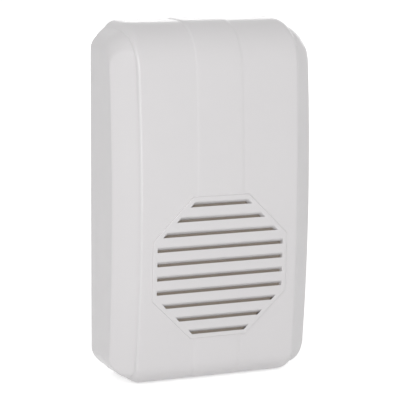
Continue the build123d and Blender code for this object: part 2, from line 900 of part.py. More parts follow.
def speaker_gasket():
    return tube(speaker_radius, flange_inner + 2 * basket_sheet, speaker_x, grille_height,
                flange_front, seat_distance)


def speaker_top_plate():
    return tube(top_plate_radius, top_plate_bore, speaker_x, grille_height, magnet_front, gap_top)


def speaker_magnet():
    ring = tube(magnet_radius, magnet_bore, speaker_x, grille_height, magnet_back, magnet_front)
    return chamfer(ring.edges().sort_by(SortBy.LENGTH)[-2:], basket_sheet)


def speaker_yoke():
    """Back disc and pole in one piece, with a chamfered back edge."""
    back = magnet_back - yoke_thickness
    edge = yoke_thickness / 3
    return lathe([(0, back), (yoke_radius - edge, back), (yoke_radius, back + edge), (yoke_radius, magnet_back),
                  (pole_radius, magnet_back), (pole_radius, gap_top), (0, gap_top)],
                 speaker_x, grille_height)


def voice_coil():
    """Thin former with the winding round the part that stands in the magnet's gap."""
    low = magnet_front - cap_rise / 2
    former = coil_inner + coil_former
    winding_low = (magnet_front + gap_top - coil_winding_length) / 2
    winding_high = winding_low + coil_winding_length
    return lathe([(coil_inner, low), (former, low), (former, winding_low), (coil_outer, winding_low),
                  (coil_outer, winding_high), (former, winding_high), (former, cone_neck + cone_sheet),
                  (coil_inner, cone_neck + cone_sheet)], speaker_x, grille_height)


def speaker_spider():
    """Corrugated disc between the coil and the ledge of the basket."""
    inner = coil_inner + coil_former + hinge_play
    outer = ledge_outer - basket_sheet
    flat = (outer - inner) / (2 * spider_waves + 2)
    points = [(inner, spider_distance)]
    for wave in range(2 * spider_waves + 1):
        rise = spider_wave_height if wave % 2 else 0
        points.append((inner + flat * (wave + 1), spider_distance + rise))
    points.append((outer, spider_distance))
    line = Polyline(*points)
    back = Polyline(*[(r, d + spider_sheet) for r, d in points])
    face = make_face([*line.edges(), Line(line @ 1, back @ 1), *back.edges(), Line(back @ 0, line @ 0)])
    return turned(face, speaker_x, grille_height)


def cone_curve(shift):
    """Curved side of the paper cone, from its neck on the coil to its rim."""
    inner = coil_inner + coil_former + hinge_play
    neck = (inner, cone_neck + shift)
    rim = (cone_outer, cone_rim + shift)
    middle = ((inner + cone_outer) / 2, (neck[1] + rim[1]) / 2 - cone_bow)
    return ThreePointArc(neck, middle, rim)


def speaker_cone():
    lower, upper = cone_curve(0), cone_curve(cone_sheet)
    face = make_face([lower, Line(lower @ 1, upper @ 1), upper, Line(upper @ 0, lower @ 0)])
    return turned(face, speaker_x, grille_height)


def cap_seat():
    """Distance of the cone's front at the edge of the dust cap."""
    curve = cone_curve(cone_sheet)
    steps = 200
    points = [curve @ (number / steps) for number in range(steps + 1)]
    return min(points, key=lambda point: abs(point.X - cap_radius)).Y


def dust_cap():
    """Domed cap, thick as the cone, on the cone round the coil."""
    seat = cap_seat() + touch
    outer = ThreePointArc((0, seat + cap_rise + cone_sheet), (cap_radius * 0.55, seat + cap_rise * 0.72 + cone_sheet),
                          (cap_radius, seat + cone_sheet / 2))
    inner = ThreePointArc((0, seat + cap_rise), (cap_radius * 0.5, seat + cap_rise * 0.74),
                          (cap_radius - cone_sheet, seat))
    face = make_face([outer, Line(outer @ 1, inner @ 1), inner, Line(inner @ 0, outer @ 0)])
    return turned(face, speaker_x, grille_height)


def speaker_surround():
    """Half roll between the cone's rim and the flange."""
    start = cone_outer - surround_lap
    roll_start = cone_outer + surround_sheet
    roll_end = flange_inner
    outer_edge = flange_inner + basket_sheet + surround_sheet
    base = flange_front
    middle = (roll_start + roll_end) / 2

    def line(shift):
        return [Line((start, base + shift), (roll_start - shift, base + shift)),
                ThreePointArc((roll_start - shift, base + shift), (middle, base + surround_rise + shift),
                              (roll_end + shift, base + shift)),
                Line((roll_end + shift, base + shift), (outer_edge, base + shift))]

    lower, upper = line(0), line(surround_sheet)
    face = make_face([*lower, Line(lower[-1] @ 1, upper[-1] @ 1), *upper, Line(upper[0] @ 0, lower[0] @ 0)])
    return turned(face, speaker_x, grille_height)


terminal_side = board_tab_place + basket_sheet
terminal_front = basket_back(terminal_side) - gap
tag_side = grille_height + terminal_side + terminal_thickness
tag_back = terminal_front - basket_sheet - tag_length


def terminal_board():
    side = grille_height + terminal_side
    return box_between((-terminal_width / 2, terminal_front - terminal_depth, side),
                       (terminal_width / 2, terminal_front, side + terminal_thickness))


def terminal_tags():
    """Two solder tags, each with its eye."""
    tags = []
    for edge in (-1, 1):
        x = edge * tag_across / 2
        tag = box_between((x - tag_width / 2, tag_back, tag_side),
                          (x + tag_width / 2, tag_back + tag_length, tag_side + tag_thickness))
        eye = Cylinder(tag_width / 4, 2 * tag_width)
        tags.append(tag - Pos(x, -(tag_back + tag_width / 2), tag_side) * eye)
    return tags


def clamp_strips():
    """Short steel strips from the posts over the edge of the flange."""
    strips = []
    inner = speaker_radius - clamp_lap
    outer = clamp_place + clamp_width / 2
    for angle in clamp_angles:
        outline = Pos((inner + outer) / 2, 0) * SlotOverall(outer - inner, clamp_width)
        outline -= Pos(clamp_place, 0) * Circle(clamp_screw + hinge_play)
        place = Pos(speaker_x, grille_height) * Rot(0, 0, angle)
        strips.append(slab(place * outline, flange_back - clamp_thickness, flange_back))
    return strips


# Circuit board


def main_board():
    across = board_right - board_left
    tall = board_high - board_low
    middle = Pos((board_left + board_right) / 2, (board_low + board_high) / 2)
    board = slab(middle * RectangleRounded(across, tall, board_corner), board_back, board_front)
    holes = [rod(board_screw + gap / 2, x, level, 0, depth) for x, level in board_post_places]
    return board - (Part() + holes)


def chip(place, size, ground, legs):
    """Chip body with bevelled top and legs along its two long sides."""
    across, tall, thick = size
    x, level = place
    body = slab(Pos(x, level) * Rectangle(across, tall), ground + leg_thickness, ground + thick)
    body = chamfer(body.faces().sort_by(Axis.Y)[0].edges(), leg_thickness)
    pieces = [body]
    for turn in range(legs):
        place_x = x + (turn - (legs - 1) / 2) * leg_pitch
        for side in (-1, 1):
            end = level + side * (tall / 2 + leg_reach)
            start = level + side * (tall / 2 - leg_reach / 2)
            foot = box_between((place_x - leg_width / 2, ground, min(start, end)),
                               (place_x + leg_width / 2, ground + 2 * leg_thickness, max(start, end)))
            pieces.append(foot)
    return Part() + pieces


def sound_chip():
    return chip(sound_chip_place, sound_chip_size, board_front, sound_chip_legs)


def amplifier_chip():
    return chip(amplifier_chip_place, amplifier_chip_size, board_front, amplifier_chip_legs)


def radio_chip():
    return chip(radio_chip_place, radio_chip_size, radio_front, radio_chip_legs)


def crystal():
    """Flat metal can with round ends on a wider rim."""
    across, tall = crystal_size
    x, level = crystal_place
    rim = SlotOverall(across + 2 * crystal_rim, tall + 2 * crystal_rim)
    body = slab(Pos(x, level) * rim, board_front, board_front + crystal_rim_height)
    can = slab(Pos(x, level) * SlotOverall(across, tall), board_front, board_front + crystal_height)
    return body + fillet(can.faces().sort_by(Axis.Y)[0].edges(), crystal_rim)


def capacitors():
    """Round cans with the crimp groove near the board."""
    cans = []
    low = board_front
    high = board_front + capacitor_height
    groove = low + 3 * capacitor_groove
    for x, level in capacitor_places:
        cans.append(lathe([(0, low), (capacitor_radius, low), (capacitor_radius, groove),
                           (capacitor_radius - capacitor_groove, groove + capacitor_groove),
                           (capacitor_radius, groove + 2 * capacitor_groove),
                           (capacitor_radius, high - capacitor_edge), (capacitor_radius - capacitor_edge, high),
                           (0, high)], x, level))
    return cans


def small_parts():
    """Resistors and small capacitors in rows."""
    across, tall, thick = small_part_size
    parts = []
    for column in range(small_part_columns):
        for row in range(small_part_rows):
            x = small_part_place[0] + column * small_part_pitch
            level = small_part_place[1] + row * small_part_pitch
            parts.append(slab(Pos(x, level) * Rectangle(across, tall), board_front, board_front + thick))
    return parts


radio_back = board_front + radio_standoff
radio_front = radio_back + radio_thickness
header_places = [(radio_left + header_margin + turn * header_pitch, radio_low + header_margin)
                 for turn in range(header_count)]


def radio_board():
    middle = Pos((radio_left + radio_right) / 2, (radio_low + radio_high) / 2)
    outline = RectangleRounded(radio_right - radio_left, radio_high - radio_low, board_corner)
    board = slab(middle * outline, radio_back, radio_front)
    holes = [slab(Pos(*place) * Rectangle(header_pin, header_pin), radio_back - overrun, radio_front + overrun)
             for place in header_places]
    return board - (Part() + holes)


def radio_pins():
    return [slab(Pos(*place) * Rectangle(header_pin, header_pin), board_front, radio_front + header_pin)
            for place in header_places]


def tuning_coil():
    """Square can with the slotted core that tunes the receiver."""
    can = slab(Pos(*tuning_coil_place) * Rectangle(tuning_coil_size, tuning_coil_size),
               radio_front, radio_front + tuning_coil_height)
    can = fillet(can.edges().filter_by(Axis.Y), crystal_rim)
    top = radio_front + tuning_coil_height
    can -= rod(tuning_core_radius, *tuning_coil_place, top - tuning_core_depth, top + overrun)
    slot = Pos(*tuning_coil_place) * Rectangle(2 * tuning_core_radius - 2 * recess_width, recess_width)
    core = rod(tuning_core_radius, *tuning_coil_place, top - 2 * tuning_core_depth, top - tuning_core_depth / 2)
    return can + (core - slab(slot, top - tuning_core_depth, top))


def aerial_coil():
    """Aerial wound on air, with a leg at each end down to the circuit board."""
    middle = board_front + aerial_lift + aerial_radius + aerial_wire / 2
    length = aerial_pitch * (aerial_turns - 0.5)
    start = (aerial_place[0], -middle, aerial_place[1])
    place = Plane(origin=start, x_dir=(0, 0, 1), z_dir=(1, 0, 0))
    legs = middle - board_front
    coil, path = wound_wire(place, aerial_radius, aerial_radius, length, aerial_turns - 0.5,
                            aerial_wire / 2, legs)
    print("aerial coil, least gap between turns", round(least_gap(path, aerial_wire / 2, aerial_turns), 2))
    return coil


# Volume switch and tune button

board_edge = board_right


def volume_switch_body():
    """Metal body of the slide switch, open at the side for its lever."""
    body = box_between((board_edge - volume_body_width, board_back - switch_body_depth,
                        volume_height - volume_body_length / 2),
                       (board_edge, board_back, volume_height + volume_body_length / 2))
    opening = box_between((board_edge - lever_root - lever_play, switch_distance - lever_width / 2 - lever_play,
                           volume_height - lever_width / 2 - lever_travel - lever_play),
                          (board_edge + overrun, switch_distance + lever_width / 2 + lever_play,
                           volume_height + lever_width / 2 + lever_travel + lever_play))
    return body - opening


def volume_lever():
    return box_between((board_edge - lever_root, switch_distance - lever_width / 2, volume_height - lever_width / 2),
                       (slider_back + lever_tip, switch_distance + lever_width / 2,
                        volume_height + lever_width / 2))


def volume_slider():
    """Guide plate behind the wall with a notch for the lever, and a grooved grip in the slot."""
    plate = box_between((slider_back, switch_distance - slider_plate_width / 2,
                         volume_height - slider_plate_length / 2),
                        (slider_inside, switch_distance + slider_plate_width / 2,
                         volume_height + slider_plate_length / 2))
    top = right_side - slider_sink
    grip = box_between((slider_inside - slider_play, switch_distance - slider_grip_width / 2,
                        volume_height - slider_grip_length / 2),
                       (top, switch_distance + slider_grip_width / 2, volume_height + slider_grip_length / 2))
    notch_half = lever_width / 2 + lever_play
    notch = box_between((slider_back - overrun, switch_distance - notch_half, volume_height - notch_half),
                        (slider_back + lever_tip + lever_play, switch_distance + slider_plate_width,
                         volume_height + notch_half))
    grooves = []
    for turn in (-1, 0, 1):
        level = volume_height + turn * slider_grip_length / 4
        cutter = Pos(top, -switch_distance, level) * Rot(90, 0, 0) * Cylinder(slider_groove, 2 * slider_plate_width)
        grooves.append(cutter)
    return plate + grip - notch - (Part() + grooves)


plunger_end = right_side - wall - button_play - button_flange_thickness


def along_side(radius, low, high, level):
    """Rod along X at the switches' distance from the wall."""
    middle = (low + high) / 2
    return Pos(middle, -switch_distance, level) * Rot(0, 90, 0) * Cylinder(radius, high - low)


def tune_switch_body():
    """Push switch on the board, with a metal face and the bore of its plunger."""
    body = box_between((board_edge - button_body_width, board_back - button_body, button_height - button_body / 2),
                       (board_edge, board_back, button_height + button_body / 2))
    deep = plunger_root + button_travel + button_play
    return body - along_side(plunger_radius + button_play, board_edge - deep, board_edge + overrun, button_height)


def tune_plunger():
    return along_side(plunger_radius, board_edge - plunger_root, plunger_end, button_height)


def tune_button():
    """Round cap with a flange behind the wall and a domed face."""
    flange = along_side(button_flange, plunger_end, plunger_end + button_flange_thickness, button_height)
    cap = along_side(button_radius, plunger_end, right_side - button_sink, button_height)
    rim = cap.edges().sort_by(Axis.X)[-1]
    return flange + fillet(rim, button_dome)


# Leads


def lead(start, pad):
    """Round lead from a tag or tab, away from the wall, up over the board's edge and down to a pad.

    Its straight runs are joined by arcs, each as large as its runs allow.
    """
    x, distance, level = start
    rise = flange_back - lead_clearance - lead_radius
    points = [start, (x, rise, level), (pad[0], rise, pad[1]), (pad[0], board_front + touch, pad[1])]
    places = [Vector(px, -pd, pz) for px, pd, pz in points]
    radii = []
    for before, at, after in zip(places, places[1:], places[2:]):
        turn = math.radians((at - before).get_angle(after - at))
        radii.append(0.45 * min((at - before).length, (after - at).length) / math.tan(turn / 2))
    path = FilletPolyline(*places, radius=radii)
    print("lead, arc radii", [round(radius, 1) for radius in radii], "length", round(path.length, 1))
    return sweep(Plane(origin=path @ 0, z_dir=path % 0) * Circle(lead_radius), path)


def battery_leads():
    """Each lies on the lower side of a contact's tab."""
    under = lead_radius + touch
    distance = board_back - lead_start
    low_tab, high_tab = lead_contact_places()
    return [lead((low_tab[0], distance, low_tab[1] - under), minus_pad),
            lead((high_tab[0], distance, high_tab[1] - contact_thickness - under), plus_pad)]


def speaker_leads():
    """Each lies on a terminal tag."""
    level = tag_side + tag_thickness + lead_radius + touch
    return [lead((side * tag_across / 2, tag_back + lead_start, level), pad)
            for side, pad in zip((-1, 1), speaker_pads)]


makers = [
    front_cover, grille_cloth, back_plate, battery_door, case_screws,
    battery_cells, lead_contacts, link_contacts, contact_springs,
    speaker_frame, speaker_gasket, speaker_top_plate, speaker_magnet, speaker_yoke,
    voice_coil, speaker_spider, speaker_cone, dust_cap, speaker_surround,
    terminal_board, terminal_tags, clamp_strips, clamp_screws,
    main_board, board_screws, sound_chip, amplifier_chip, crystal, capacitors, small_parts,
    radio_board, radio_pins, radio_chip, tuning_coil, aerial_coil,
    volume_switch_body, volume_lever, volume_slider,
    tune_switch_body, tune_plunger, tune_button,
    battery_leads, speaker_leads,
]

os.makedirs("parts", exist_ok=True)
forward = Pos(0, depth / 2, 0)
for maker in makers:
    piece = maker()
    if isinstance(piece, list):
        piece = Compound(children=[forward * solid for solid in piece])
    else:
        piece = forward * piece
    export_step(piece, os.path.join("parts", maker.__name__ + ".step"))
print("pieces written", len(makers))
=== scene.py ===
import math

import bmesh
import bpy
import numpy as np
from mathutils import Matrix, Vector
from mathutils.bvhtree import BVHTree


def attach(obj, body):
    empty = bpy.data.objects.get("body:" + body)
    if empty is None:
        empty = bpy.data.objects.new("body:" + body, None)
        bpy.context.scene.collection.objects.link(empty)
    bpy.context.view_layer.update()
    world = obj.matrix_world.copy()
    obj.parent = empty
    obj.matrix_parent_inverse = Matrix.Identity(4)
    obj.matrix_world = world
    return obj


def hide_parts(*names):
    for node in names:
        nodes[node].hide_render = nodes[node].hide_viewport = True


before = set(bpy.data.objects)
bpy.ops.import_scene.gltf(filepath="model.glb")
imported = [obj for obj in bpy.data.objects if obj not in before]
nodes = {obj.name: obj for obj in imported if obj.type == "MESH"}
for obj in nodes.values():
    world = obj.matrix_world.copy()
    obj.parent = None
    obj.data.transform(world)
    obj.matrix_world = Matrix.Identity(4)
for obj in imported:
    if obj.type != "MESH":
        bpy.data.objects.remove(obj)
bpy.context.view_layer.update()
mm = 0.001
halfDepth = 17.5        # the wall plane lies this far behind the origin, in mm
print("frame loaded,", len(nodes), "nodes")


def place(x, distance, z):
    # a point from mm, with its distance from the wall, to the frame in metres
    return (x * mm, (halfDepth - distance) * mm, z * mm)


def circle(count):
    # cosine and sine once round
    angles = [2 * math.pi * k / count for k in range(count)]
    return [(math.cos(angle), math.sin(angle)) for angle in angles]


def quarter(steps):
    # sine and cosine from 0 to 90 degrees
    angles = [math.pi / 2 * turn / steps for turn in range(steps + 1)]
    return [(math.sin(angle), math.cos(angle)) for angle in angles]


def ringSteps(count):
    # each place of a ring with the one after it
    return [(k, (k + 1) % count) for k in range(count)]


def addObject(name, data):
    added = bpy.data.objects.new(name, data)
    bpy.context.scene.collection.objects.link(added)
    return added


def plainObject(name, verts, faces, finishes=(), used=()):
    # an object of joined points with its faces turned outwards; used gives each face its finish
    mesh = bpy.data.meshes.new(name)
    mesh.from_pydata(verts, [], faces)
    for finish in finishes:
        mesh.materials.append(materials[finish])
    if used:
        mesh.polygons.foreach_set("material_index", used)
    mesh.update()
    piece = addObject(name, mesh)
    cleanMesh(mesh)
    return piece


def cleanMesh(mesh):
    work = bmesh.new()
    work.from_mesh(mesh)
    bmesh.ops.remove_doubles(work, verts=work.verts, dist=1e-7)
    bmesh.ops.recalc_face_normals(work, faces=work.faces)
    work.to_mesh(mesh)
    work.free()


def shadeMesh(mesh, sharp):
    mesh.shade_smooth()
    mesh.set_sharp_from_angle(angle=math.radians(sharp))


def dressMesh(mesh, finish, sharp):
    mesh.materials.clear()
    mesh.materials.append(materials[finish])
    shadeMesh(mesh, sharp)


def meshObject(name, verts, faces, body, finish, sharp):
    piece = plainObject(name, verts, faces)
    dressMesh(piece.data, finish, sharp)
    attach(piece, body)
    return piece


def cutAll(work, at, normal):
    # divides all faces along one plane
    bmesh.ops.bisect_plane(work, geom=work.verts[:] + work.edges[:] + work.faces[:], dist=1e-6,
                           plane_co=at, plane_no=normal)


def evaluatedMesh(piece):
    bpy.context.view_layer.update()
    return bpy.data.meshes.new_from_object(piece.evaluated_get(bpy.context.evaluated_depsgraph_get()))


def stage(text):
    print("scene:", text)


# ---- materials ----

class Graph:
    # a node tree with short calls for the sums and patterns that the surfaces are made of
    def __init__(self, tree):
        self.tree = tree

    def feed(self, socket, value):
        # a number, colour or vector is set, anything else is linked
        if isinstance(value, (int, float, tuple)):
            socket.default_value = value
        else:
            self.tree.links.new(value, socket)

    def node(self, kind, *values, operation=None, **inputs):
        # values go to the first sockets in their order, inputs to sockets by name
        node = self.tree.nodes.new("ShaderNode" + kind)
        if operation:
            node.operation = operation
        for label, value in [*enumerate(values), *inputs.items()]:
            self.feed(node.inputs[label], value)
        return node

    def math(self, operation, a, b=0):
        return self.node("Math", a, b, operation=operation).outputs[0]

    def noise(self, point, scale, detail=3.0):
        return self.node("TexNoise", Vector=point, Scale=scale, Detail=detail).outputs["Fac"]

    def spread(self, noise, low, high):
        # maps 0.3..0.7 of a noise to low..high
        return self.node("MapRange", noise, 0.3, 0.7, low, high).outputs["Result"]

    def around(self, noise, middle, change):
        return self.spread(noise, self.math("SUBTRACT", middle, change), self.math("ADD", middle, change))

    def scaled(self, color, factor):
        return self.node("VectorMath", color, operation="SCALE", Scale=factor).outputs["Vector"]

    def pick(self, mask, one, two):
        # colour one where the mask is 0, colour two where it is 1
        node = self.node("Mix", mask)
        node.data_type = "RGBA"
        self.feed(node.inputs[6], one)
        self.feed(node.inputs[7], two)
        return node.outputs[2]

    def point(self):
        return self.node("TexCoord").outputs["Object"]

    def split(self, point):
        return self.node("SeparateXYZ", point).outputs


def newGroup(fill, inputs):
    # a group named like fill, which gets the graph and its inputs and gives its results by name
    tree = bpy.data.node_groups.new(fill.__name__, "ShaderNodeTree")

    def addSocket(label, way, isColor):
        kind = "NodeSocketColor" if isColor else "NodeSocketFloat"
        return tree.interface.new_socket(name=label, in_out=way, socket_type=kind)

    for label, value in inputs.items():
        addSocket(label, "INPUT", isinstance(value, tuple)).default_value = value
    results = fill(Graph(tree), tree.nodes.new("NodeGroupInput").outputs)
    for label in results:
        addSocket(label, "OUTPUT", label == "Color")
    ends = tree.nodes.new("NodeGroupOutput").inputs
    for label, value in results.items():
        tree.links.new(value, ends[label])
    return tree


def mouldedSurface(graph, given):
    # moulded plastic: faint clouds in the colour, uneven polish, fine spark-eroded grain
    point = graph.point()
    clouds = graph.around(graph.noise(point, 28.0, 4.0), 1.0, given["Clouds"])
    polish = graph.around(graph.noise(point, 160.0, 2.0), given["Polish"], given["Polish Change"])
    return {"Color": graph.scaled(given["Color"], clouds), "Roughness": polish,
            "Height": graph.noise(point, given["Grain Scale"], 1.0)}


def metalSurface(graph, given):
    # rolled or turned metal: fine lines along one direction and a dull bloom
    point = graph.point()
    stretch = graph.node("Mapping", Vector=point, Scale=(1.0, 0.08, 1.0))
    lines = graph.noise(stretch.outputs["Vector"], given["Line Scale"], 2.0)
    bloom = graph.spread(graph.noise(point, 240.0, 4.0), graph.math("SUBTRACT", 1.0, given["Bloom"]), 1.0)
    polish = graph.spread(lines, given["Polish"], graph.math("ADD", given["Polish"], 0.14))
    return {"Color": graph.scaled(given["Color"], bloom), "Roughness": polish, "Height": lines}


def plainWeave(graph, given):
    # two crossed waves, one over the other by turns, with painted shade between the thread crests
    calc, split = graph.math, graph.split(graph.point())
    turn = calc("MULTIPLY", given["Threads Per Metre"], math.pi)
    across, along = [calc("SINE", calc("MULTIPLY", split[axis], turn)) for axis in "XZ"]
    over = calc("GREATER_THAN", calc("MULTIPLY", across, along))
    tone = graph.pick(over, given["Warp Color"], given["Weft Color"])
    hill = calc("MULTIPLY", calc("ABSOLUTE", across), calc("ABSOLUTE", along))
    # painted shade: the thread colour is darkened where the threads dip between their crests
    shade = calc("ADD", calc("MULTIPLY", hill, 0.45), 0.7)
    return {"Color": graph.scaled(tone, shade), "Height": hill}


def cellSurface(graph, given):
    # dry cells side by side: a two-tone sleeve, folded over the rims of the bare steel can
    lineBelow, lineHalf, lineColor = 0.0012, 0.0003, (0.55, 0.55, 0.53, 1)
    calc, point = graph.math, graph.point()
    split = graph.split(point)
    index = calc("ROUND", calc("DIVIDE", split["X"], given["Step"]))
    across = calc("SUBTRACT", split["X"], calc("MULTIPLY", index, given["Step"]))
    deep = calc("SUBTRACT", split["Y"], given["Axis Place"])
    square = calc("ADD", calc("MULTIPLY", across, across), calc("MULTIPLY", deep, deep))
    sleeve = calc("GREATER_THAN", calc("SQRT", square), given["Sleeve Radius"])
    # the two outer cells stand the other way up
    way = calc("SUBTRACT", 1.0, calc("MULTIPLY", calc("ABSOLUTE", index), 2.0))
    along = calc("MULTIPLY", calc("SUBTRACT", split["Z"], given["Middle Height"]), way)
    band = calc("GREATER_THAN", along, given["Band Start"])
    fromLine = calc("SUBTRACT", along, calc("SUBTRACT", given["Band Start"], lineBelow))
    line = calc("LESS_THAN", calc("ABSOLUTE", fromLine), lineHalf)
    tone = graph.pick(line, graph.pick(band, given["Sleeve Color"], given["Band Color"]), lineColor)
    tone = graph.pick(sleeve, given["Steel Color"], tone)
    bare = calc("SUBTRACT", 1.0, sleeve)
    return {"Color": graph.scaled(tone, graph.spread(graph.noise(point, 420.0), 0.9, 1.06)),
            "Roughness": graph.spread(graph.noise(point, 900.0, 2.0), 0.29, 0.4),
            "Metallic": calc("MAXIMUM", bare, calc("MULTIPLY", band, 0.7)),
            "Height": graph.noise(point, 300.0, 2.0)}


def boardSurface(graph, given):
    # circuit board: tracks under the solder mask, and tinned rings round the vias
    calc, point = graph.math, graph.point()
    split = graph.split(point)
    cells, inCell, tracks = [], [], []
    for axis in "XZ":
        scaled = calc("MULTIPLY", calc("ADD", split[axis], 1.0), given["Tracks Per Metre"])
        cells.append(calc("FLOOR", scaled))
        inCell.append(calc("ABSOLUTE", calc("SUBTRACT", calc("FRACT", scaled), 0.5)))

    def chance(a, b):
        noise = graph.node("TexWhiteNoise", graph.node("CombineXYZ", a, b).outputs["Vector"])
        noise.noise_dimensions = "2D"
        return noise.outputs["Value"]

    for this, other in ((0, 1), (1, 0)):
        run = calc("FLOOR", calc("MULTIPLY", cells[other], 0.14))
        here = calc("GREATER_THAN", chance(cells[this], run), 0.52)
        tracks.append(calc("MULTIPLY", here, calc("LESS_THAN", inCell[this], 0.17)))
    track = calc("MAXIMUM", *tracks)
    square = calc("ADD", *[calc("MULTIPLY", value, value) for value in inCell])
    via = calc("MULTIPLY", calc("LESS_THAN", square, 0.07),
               calc("GREATER_THAN", chance(cells[1], cells[0]), 0.86))
    tone = graph.pick(track, given["Mask Color"], given["Track Color"])
    tone = graph.pick(via, tone, given["Tin Color"])
    return {"Color": graph.scaled(tone, graph.spread(graph.noise(point, 160.0), 0.9, 1.08)),
            "Roughness": graph.spread(graph.noise(point, 700.0, 2.0), 0.29, 0.42),
            "Metallic": via, "Height": calc("MAXIMUM", track, via)}


groups = {
    "moulded": newGroup(mouldedSurface, {
        "Color": (0.7, 0.7, 0.7, 1), "Clouds": 0.02, "Polish": 0.4, "Polish Change": 0.05,
        "Grain Scale": 4000.0}),
    "metal": newGroup(metalSurface, {
        "Color": (0.7, 0.7, 0.7, 1), "Bloom": 0.08, "Polish": 0.3, "Line Scale": 900.0}),
    "weave": newGroup(plainWeave, {
        "Warp Color": (0.6, 0.6, 0.6, 1), "Weft Color": (0.5, 0.5, 0.5, 1),
        "Threads Per Metre": 1800.0}),
    "cells": newGroup(cellSurface, {
        "Sleeve Color": (0.05, 0.2, 0.1, 1), "Band Color": (0.6, 0.4, 0.2, 1),
        "Steel Color": (0.6, 0.6, 0.6, 1), "Step": 0.0152, "Sleeve Radius": 0.0066,
        "Middle Height": 0.11275, "Axis Place": 0.00795, "Band Start": 0.011}),
    "board": newGroup(boardSurface, {
        "Mask Color": (0.02, 0.13, 0.05, 1), "Track Color": (0.05, 0.25, 0.1, 1),
        "Tin Color": (0.6, 0.6, 0.56, 1), "Tracks Per Metre": 620.0}),
}


def startMaterial(name):
    material = bpy.data.materials.new(name)
    material.use_nodes = True
    return material, Graph(material.node_tree), material.node_tree.nodes["Principled BSDF"]


def newMaterial(name, group, inputs, bump=0.1, bumpSize=0.00002, **shader):
    material, graph, surface = startMaterial(name)
    use = graph.node("Group")
    use.node_tree = groups[group]
    for label, value in inputs.items():
        use.inputs[label].default_value = value
    relief = graph.node("Bump", Strength=bump, Distance=bumpSize, Height=use.outputs["Height"])
    graph.feed(surface.inputs["Normal"], relief.outputs["Normal"])
    graph.feed(surface.inputs["Base Color"], use.outputs["Color"])
    for label in ("Roughness", "Metallic"):
        if label in use.outputs.keys():
            graph.feed(surface.inputs[label], use.outputs[label])
    for label, value in shader.items():
        surface.inputs[label.replace("_", " ")].default_value = value
    return material


def moulded(name, color, polish=0.4, clouds=0.02, grain=4000.0, bump=0.1, **shader):
    inputs = {"Color": (*color, 1), "Clouds": clouds, "Polish": polish, "Grain Scale": grain}
    return newMaterial(name, "moulded", inputs, bump, **shader)


def metal(name, color, polish=0.3, lines=900.0, bump=0.08, **shader):
    inputs = {"Color": (*color, 1), "Polish": polish, "Line Scale": lines}
    return newMaterial(name, "metal", inputs, bump, Metallic=1.0, **shader)


materials = {
    "cover": moulded("coverPlastic", (0.7, 0.684, 0.691), 0.345, 0.006, 5200, 0.08, IOR=1.5,
                      Coat_Weight=0.2, Coat_Roughness=0.16),
    "plate": moulded("platePlastic", (0.68, 0.668, 0.668), 0.46, 0.012, 2600, 0.3),
    "door": moulded("doorPlastic", (0.69, 0.677, 0.677), 0.42, 0.012, 2600, 0.3),
    "control": moulded("controlPlastic", (0.64, 0.63, 0.63), 0.34, 0.01, 5200, 0.1),
    "switch": moulded("switchPlastic", (0.03, 0.03, 0.032), 0.5, 0.05, 2200, 0.3),
    "lever": moulded("leverPlastic", (0.66, 0.64, 0.58), 0.45, 0.02, 2600, 0.2),
    "sleeve": newMaterial("cellSleeve", "cells", {
        "Sleeve Color": (0.02, 0.09, 0.05, 1), "Band Color": (0.66, 0.45, 0.22, 1)}, 0.05),
    "chip": moulded("chipMoulding", (0.022, 0.022, 0.024), 0.62, 0.08, 3000, 0.4),
    "board": newMaterial("solderMask", "board", {
        "Mask Color": (0.012, 0.1, 0.04, 1), "Track Color": (0.03, 0.2, 0.08, 1)}, 0.5, 0.00004),
    "radio": newMaterial("radioMask", "board", {
        "Mask Color": (0.01, 0.06, 0.13, 1), "Track Color": (0.02, 0.13, 0.24, 1), "Tracks Per Metre": 900},
        0.5, 0.00004),
    "laminate": moulded("paperLaminate", (0.33, 0.2, 0.09), 0.55, 0.12, 700, 0.3),
    "ferrite": moulded("ferriteRing", (0.035, 0.035, 0.038), 0.6, 0.15, 1200, 0.5),
    "basket": moulded("basketPaint", (0.018, 0.018, 0.02), 0.38, 0.05, 1800, 0.3),
    "foam": moulded("foamRing", (0.02, 0.02, 0.02), 0.9, 0.2, 2500, 1.0),
    "rubber": moulded("softSurround", (0.014, 0.014, 0.014), 0.55, 0.1, 1600, 0.3),
    "paper": moulded("pulpCone", (0.02, 0.02, 0.021), 0.85, 0.25, 900, 0.8),
    "smallPart": moulded("firedBody", (0.09, 0.06, 0.035), 0.5, 0.2, 1800, 0.2),
    "canSleeve": moulded("canSleeve", (0.03, 0.04, 0.09), 0.34, 0.05, 900, 0.1),
    "redLead": moulded("redInsulation", (0.42, 0.02, 0.015), 0.38, 0.05, 1500, 0.15),
    "blackLead": moulded("blackInsulation", (0.012, 0.012, 0.012), 0.38, 0.05, 1500, 0.15),
    "zinc": metal("zincPlate", (0.62, 0.63, 0.64), 0.3, 1400),
    "nickel": metal("nickelPlate", (0.68, 0.66, 0.62), 0.29, 1400),
    "steel": metal("pressedSteel", (0.55, 0.55, 0.56), 0.34, 900),
    "tin": metal("tinnedTag", (0.66, 0.66, 0.64), 0.36, 1200),
    "gold": metal("goldFlash", (0.75, 0.52, 0.2), 0.29, 1400),
    "copper": metal("enamelledCopper", (0.62, 0.25, 0.1), 0.3, 2600, 0.4),
    "can": metal("drawnCan", (0.6, 0.6, 0.6), 0.29, 600),
}
materials["cloth"] = newMaterial("dustCloth", "weave", {
    "Warp Color": (0.46, 0.4, 0.34, 1), "Weft Color": (0.37, 0.32, 0.27, 1), "Threads Per Metre": 1500},
    0.8, 0.00008, Roughness=0.85)
materials["spider"] = newMaterial("spiderCloth", "weave", {
    "Warp Color": (0.5, 0.33, 0.12, 1), "Weft Color": (0.42, 0.27, 0.09, 1), "Threads Per Metre": 2200},
    0.8, 0.00006, Roughness=0.8)
stage("materials made")

